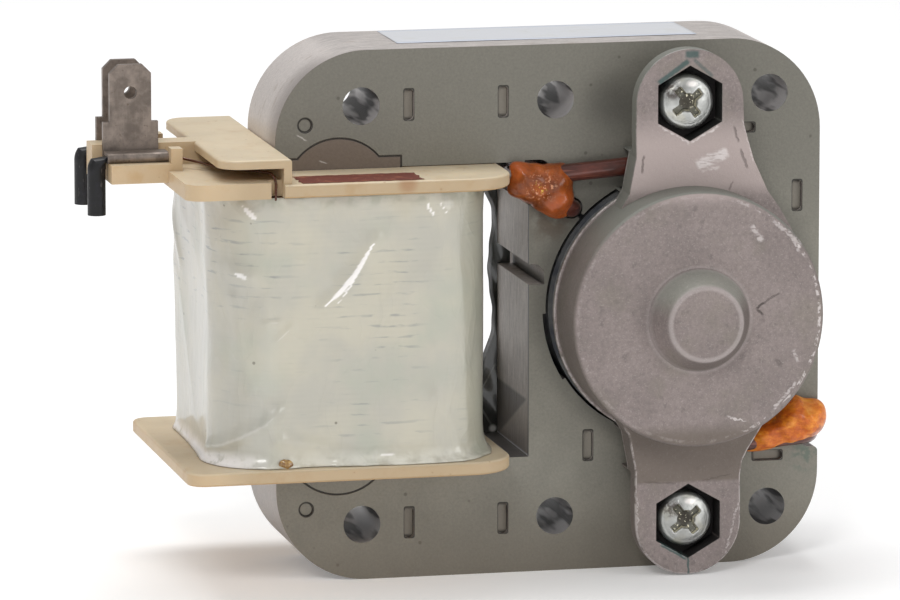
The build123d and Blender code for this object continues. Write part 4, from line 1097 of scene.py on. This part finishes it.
def screw_mesh(name, middle):
    """A turned outline carried round the screw's axis: a domed head with a cross sunk into it, a shank
    whose thread is a slanting wave, and a pointed end."""
    low, high = (np.array(corner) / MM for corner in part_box(name))
    head = (high[0] - low[0]) / 2
    tall, shank, depth_of_thread = 2.5, 1.95, 0.28
    seat = low[1] + tall
    end = high[1] - seat
    thread = sizes().thread_pitch / MM
    rho = np.concatenate([
        np.linspace(0, head - 0.6, 54), head - 0.6 + 0.6 * np.sin(np.linspace(0.2, np.pi / 2, 9)),
        [head, head, head - 0.1, 2.4], np.full(150, shank), [1.7, 1.4, 0.9, 0]])
    rise = np.concatenate([
        tall - 0.5 * np.linspace(0, 1, 54) ** 2.2, 2.0 - 0.75 * (1 - np.cos(np.linspace(0.2, np.pi / 2, 9))),
        [0.7, 0.1, 0, 0], np.linspace(0, 0.5 - end, 150), [0.3 - end, 0.1 - end, -end, -end]])
    turn = np.linspace(0, TURN, 144, endpoint=False)[None, :]
    rho, rise = rho[:, None], rise[:, None]
    threaded = (rise < -1.0) & (rise > 0.6 - end)
    saw = np.abs(((rise / thread + turn / TURN) % 1) - 0.5) * 2
    radius = rho - np.where(threaded, depth_of_thread * saw, 0)
    swing = turn - sizes().recess_turn
    a, b = np.abs(rho * np.cos(swing)), np.abs(rho * np.sin(swing))
    arms = np.maximum((1 - step_up(b, 0.34, 0.5)) * (1 - step_up(a, 1.75, 2.05)),
                      (1 - step_up(a, 0.34, 0.5)) * (1 - step_up(b, 1.75, 2.05)))
    center = 1 - step_up(rho, 0.75, 1.15)
    sunk = np.maximum(arms, center) * np.where(rise > 1.5, 1, 0)
    depth = sizes().recess_depth / MM * (1 - 0.42 * np.clip(rho / 2, 0, 1))
    y = seat - (rise - sunk * depth)
    x = radius * np.cos(turn)
    z = middle + radius * np.sin(turn)
    grid = np.stack(np.broadcast_arrays(x, y, z), axis=-1)
    mesh = mesh_of(name, grid, around=True)
    paint(mesh, "fold", np.broadcast_to(sunk, grid.shape[:2]))
    return tidied(mesh)


def sheet_mesh(name, x, y, z, wave, ragged=0.0):
    """A thin lying sheet: an even grid in length and width, its edges moved and its height waved by sines."""
    along = np.linspace(0, 1, 90)[None, :]
    wide = np.linspace(0, 1, 30)[:, None]
    start = x[0] + ragged * (np.sin(wide * 17) + 0.6 * np.sin(wide * 41))
    stop = x[1] + ragged * (np.sin(wide * 13 + 1) + 0.6 * np.sin(wide * 37))
    px = start + (stop - start) * along
    torn = ragged * (np.sin(along * 29) + np.sin(along * 61 + 2)) * (2 * wide - 1) * 0.5
    py = y[0] + (y[1] - y[0]) * wide + torn
    pz = z + wave * (1 + np.sin(along * 9 + 2 * wide) * np.sin(wide * 5 + along * 3)) * 0.5
    return mesh_of(name, np.stack(np.broadcast_arrays(px, py, pz), axis=-1))


# Operators


class MOTOR_OT_stack(bpy.types.Operator):
    """Finish the laminated stack and the coil's leg"""
    bl_idname = "motor.stack"
    bl_label = "Laminated stack"

    def execute(self, context):
        dress(steel_finish("lamination_steel", 0), "main_core")
        dress(steel_finish("leg_steel", 1), "coil_core")
        return {"FINISHED"}


class MOTOR_OT_bobbin(bpy.types.Operator):
    """Finish the moulded bobbin with its terminal head"""
    bl_idname = "motor.bobbin"
    bl_label = "Bobbin"

    def execute(self, context):
        dress(bobbin_finish(), "bobbin")
        return {"FINISHED"}


class MOTOR_OT_film(bpy.types.Operator):
    """Wrap the coil in creased film"""
    bl_idname = "motor.film"
    bl_label = "Coil film"

    def execute(self, context):
        made = piece("coil_film", film_mesh(), film_finish(), "coil_film", "coil_wrap")
        thickened(made, 0.05, -1)
        return {"FINISHED"}


class MOTOR_OT_loose_film(bpy.types.Operator):
    """Add the film's loose edge behind the window"""
    bl_idname = "motor.loose_film"
    bl_label = "Loose film edge"

    def execute(self, context):
        made = piece("loose_film_edge", flap_mesh(), loose_film_finish(), "coil_film")
        thickened(made, 0.08, 0)
        return {"FINISHED"}


class MOTOR_OT_wire(bpy.types.Operator):
    """Finish the winding and its two leads"""
    bl_idname = "motor.wire"
    bl_label = "Winding and leads"

    def execute(self, context):
        dress(wire_finish("winding_wire", 1), "winding")
        dress(wire_finish("lead_wire", 0.35), "lead_wire_front", "lead_wire_rear")
        return {"FINISHED"}


class MOTOR_OT_terminals(bpy.types.Operator):
    """Finish the push-on terminals and their black sleeves"""
    bl_idname = "motor.terminals"
    bl_label = "Terminals and sleeves"

    def execute(self, context):
        dress(terminal_finish(), "terminal_front", "terminal_rear")
        dress(sleeve_finish(), "sleeve_front", "sleeve_rear")
        return {"FINISHED"}


class MOTOR_OT_rings(bpy.types.Operator):
    """Finish the copper shading rings"""
    bl_idname = "motor.rings"
    bl_label = "Shading rings"

    def execute(self, context):
        dress(copper_finish(), "upper_large_ring", "upper_small_ring", "lower_large_ring", "lower_small_ring")
        return {"FINISHED"}


class MOTOR_OT_varnish(bpy.types.Operator):
    """Drop thick varnish over the rings' joints"""
    bl_idname = "motor.varnish"
    bl_label = "Joint varnish"

    def execute(self, context):
        finish = varnish_finish()
        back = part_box("main_core")[0].y / MM - 0.02
        upper = drop_mesh("upper_varnish", UPPER_DROP, UPPER_LUMPS, back, 1.75)
        lower = drop_mesh("lower_varnish", LOWER_DROP, LOWER_LUMPS, back, 1.8)
        piece("upper_varnish", upper, finish, "joint_varnish", "upper_joint_varnish")
        piece("lower_varnish", lower, finish, "joint_varnish", "lower_joint_varnish")
        return {"FINISHED"}


class MOTOR_OT_brackets(bpy.types.Operator):
    """Finish the die-cast bearing brackets"""
    bl_idname = "motor.brackets"
    bl_label = "Bearing brackets"

    def execute(self, context):
        dress(casting_finish(), "front_bracket", "rear_bracket")
        return {"FINISHED"}


class MOTOR_OT_bearings(bpy.types.Operator):
    """Finish the bushes, their felts and their retainers"""
    bl_idname = "motor.bearings"
    bl_label = "Bearings"

    def execute(self, context):
        dress(bronze_finish(), "front_bush", "rear_bush")
        dress(felt_finish(), "front_felt", "rear_felt")
        dress(spring_finish(), "front_bush_retainer", "rear_bush_retainer")
        return {"FINISHED"}


class MOTOR_OT_rotor(bpy.types.Operator):
    """Finish the rotor, its shaft, collars and washers"""
    bl_idname = "motor.rotor"
    bl_label = "Rotor"

    def execute(self, context):
        dress(rotor_finish(), "rotor_core")
        dress(cage_finish(), "rotor_cage")
        dress(shaft_finish(), "shaft")
        dress(collar_finish(), "front_collar", "rear_collar", "front_thrust_washer", "rear_thrust_washer")
        return {"FINISHED"}


class MOTOR_OT_screws(bpy.types.Operator):
    """Make the cross-recessed screws and finish their nuts"""
    bl_idname = "motor.screws"
    bl_label = "Screws and nuts"

    def execute(self, context):
        finish = zinc_finish()
        for name in ("upper_screw", "lower_screw"):
            low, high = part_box(name)
            middle = (low.z + high.z) / 2 / MM
            piece(name + "_cross", screw_mesh(name, middle), finish, "screw_zinc", name)
        dress(finish, "upper_nut", "lower_nut")
        return {"FINISHED"}


# The label's left end, and its near and far edges, on top of the stack.
LABEL_START, LABEL_EDGES = -31.5, (-3.5, 7.0)


class MOTOR_OT_label(bpy.types.Operator):
    """Lay the bare label on top of the stack"""
    bl_idname = "motor.label"
    bl_label = "Bare label"

    def execute(self, context):
        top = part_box("main_core")[1].z / MM
        stop = LABEL_START + sizes().label_length / MM
        mesh = sheet_mesh("bare_label", (LABEL_START, stop), LABEL_EDGES, top + 0.02, 0.04)
        thickened(piece("bare_label", mesh, label_finish(), "collar_plastic"), 0.05, 1)
        return {"FINISHED"}


class MOTOR_OT_patch(bpy.types.Operator):
    """Lay the bare red-brown patch on the upper flange"""
    bl_idname = "motor.patch"
    bl_label = "Flange patch"

    def execute(self, context):
        mesh = sheet_mesh("flange_patch", (-45.4, -31.6), (-17.3, -12.2), 16.92, 0.02, 0.12)
        thickened(piece("flange_patch", mesh, patch_finish(), "bobbin_plastic"), 0.03, 1)
        return {"FINISHED"}


class MOTOR_OT_resin(bpy.types.Operator):
    """Set the drop of resin at the foot of the film"""
    bl_idname = "motor.resin"
    bl_label = "Resin drop"

    def execute(self, context):
        mesh = drop_mesh("resin_drop", RESIN_DROP, (), -16.1, 0.2)
        piece("resin_drop", mesh, resin_finish(), "joint_varnish")
        return {"FINISHED"}


def soft_light(name, place, aim, size, power):
    """A square area light that looks at a point."""
    lamp = bpy.data.lights.new(name, "AREA")
    lamp.shape = "RECTANGLE"
    lamp.size, lamp.size_y = size
    lamp.energy = power
    made = bpy.data.objects.new(name, lamp)
    made.location = place
    made.rotation_euler = (Vector(aim) - Vector(place)).to_track_quat("-Z", "Y").to_euler()
    bpy.context.scene.collection.objects.link(made)


class MOTOR_OT_stage(bpy.types.Operator):
    """Set the floor, the lights and the camera"""
    bl_idname = "motor.stage"
    bl_label = "Stage"

    def execute(self, context):
        scene = context.scene
        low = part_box("main_core")[0].z
        side = np.linspace(-3, 3, 13)
        x, y = np.meshgrid(side, side)
        mesh = mesh_of("floor", np.stack([x, y, np.full_like(x, low)], axis=-1) / MM)
        floor = bpy.data.objects.new("floor", mesh)
        scene.collection.objects.link(floor)
        look = Finish("pale_floor", {"Emission Color": (1, 1, 1, 1), "Emission Strength": 0.14})
        tone = Coats(look, colours().floor, 0.98)
        tone.tone(look.noise(400, 2).rises(0.2, 0.8), 1)
        floor.data.materials.append(look.done(tone, 0.9))
        world = bpy.data.worlds.new("studio")
        world.use_nodes = True
        back = world.node_tree.nodes["Background"]
        back.inputs["Color"].default_value = (1, 1, 1, 1)
        back.inputs["Strength"].default_value = 0.46
        scene.world = world
        scene.view_settings.view_transform = "Standard"
        aim = (-0.02, 0, 0)
        soft_light("key", (-0.45, -0.85, 0.7), aim, (0.3, 0.3), 3.4)
        soft_light("fill", (0.75, -0.7, 0.3), aim, (0.5, 0.5), 2.6)
        soft_light("top", (-0.1, 0.25, 0.95), aim, (0.7, 0.4), 5.0)
        turn, rise, away = math.radians(-12.99), math.radians(9.74), 0.877
        focal_pixels, width = 7667.6, 900
        back_way = Vector((math.sin(turn) * math.cos(rise), -math.cos(turn) * math.cos(rise), math.sin(rise)))
        lens = bpy.data.cameras.new("camera")
        lens.sensor_width = 36
        lens.lens = focal_pixels / width * lens.sensor_width
        camera = bpy.data.objects.new("camera", lens)
        camera.location = Vector((-0.02455, 0, 0.0001)) + back_way * away
        camera.rotation_euler = (-back_way).to_track_quat("-Z", "Y").to_euler()
        scene.collection.objects.link(camera)
        scene.camera = camera
        return {"FINISHED"}


STEPS = (
    MOTOR_OT_stage, MOTOR_OT_stack, MOTOR_OT_bobbin, MOTOR_OT_film, MOTOR_OT_loose_film,
    MOTOR_OT_wire, MOTOR_OT_terminals, MOTOR_OT_rings, MOTOR_OT_varnish, MOTOR_OT_brackets,
    MOTOR_OT_bearings, MOTOR_OT_rotor, MOTOR_OT_screws, MOTOR_OT_label, MOTOR_OT_patch, MOTOR_OT_resin,
)


class MOTOR_PT_panel(bpy.types.Panel):
    """The steps and settings of the motor"""
    bl_idname = "MOTOR_PT_panel"
    bl_label = "Fan motor"
    bl_space_type = "VIEW_3D"
    bl_region_type = "UI"
    bl_category = "Fan motor"

    def draw(self, context):
        for group in (context.scene.motor_sizes, context.scene.motor_colours):
            box = self.layout.box()
            for name in group.__annotations__:
                box.prop(group, name)
        for step in STEPS:
            self.layout.operator(step.bl_idname)


CLASSES = (MotorSizes, MotorColours, *STEPS, MOTOR_PT_panel)


def register():
    for made in CLASSES:
        bpy.utils.register_class(made)
    bpy.types.Scene.motor_sizes = PointerProperty(type=MotorSizes)
    bpy.types.Scene.motor_colours = PointerProperty(type=MotorColours)


def unregister():
    del bpy.types.Scene.motor_colours
    del bpy.types.Scene.motor_sizes
    for made in reversed(CLASSES):
        bpy.utils.unregister_class(made)


def main():
    register()
    for step in STEPS:
        group, name = step.bl_idname.split(".")
        getattr(getattr(bpy.ops, group), name)()


if __name__ == "__main__":
    main()
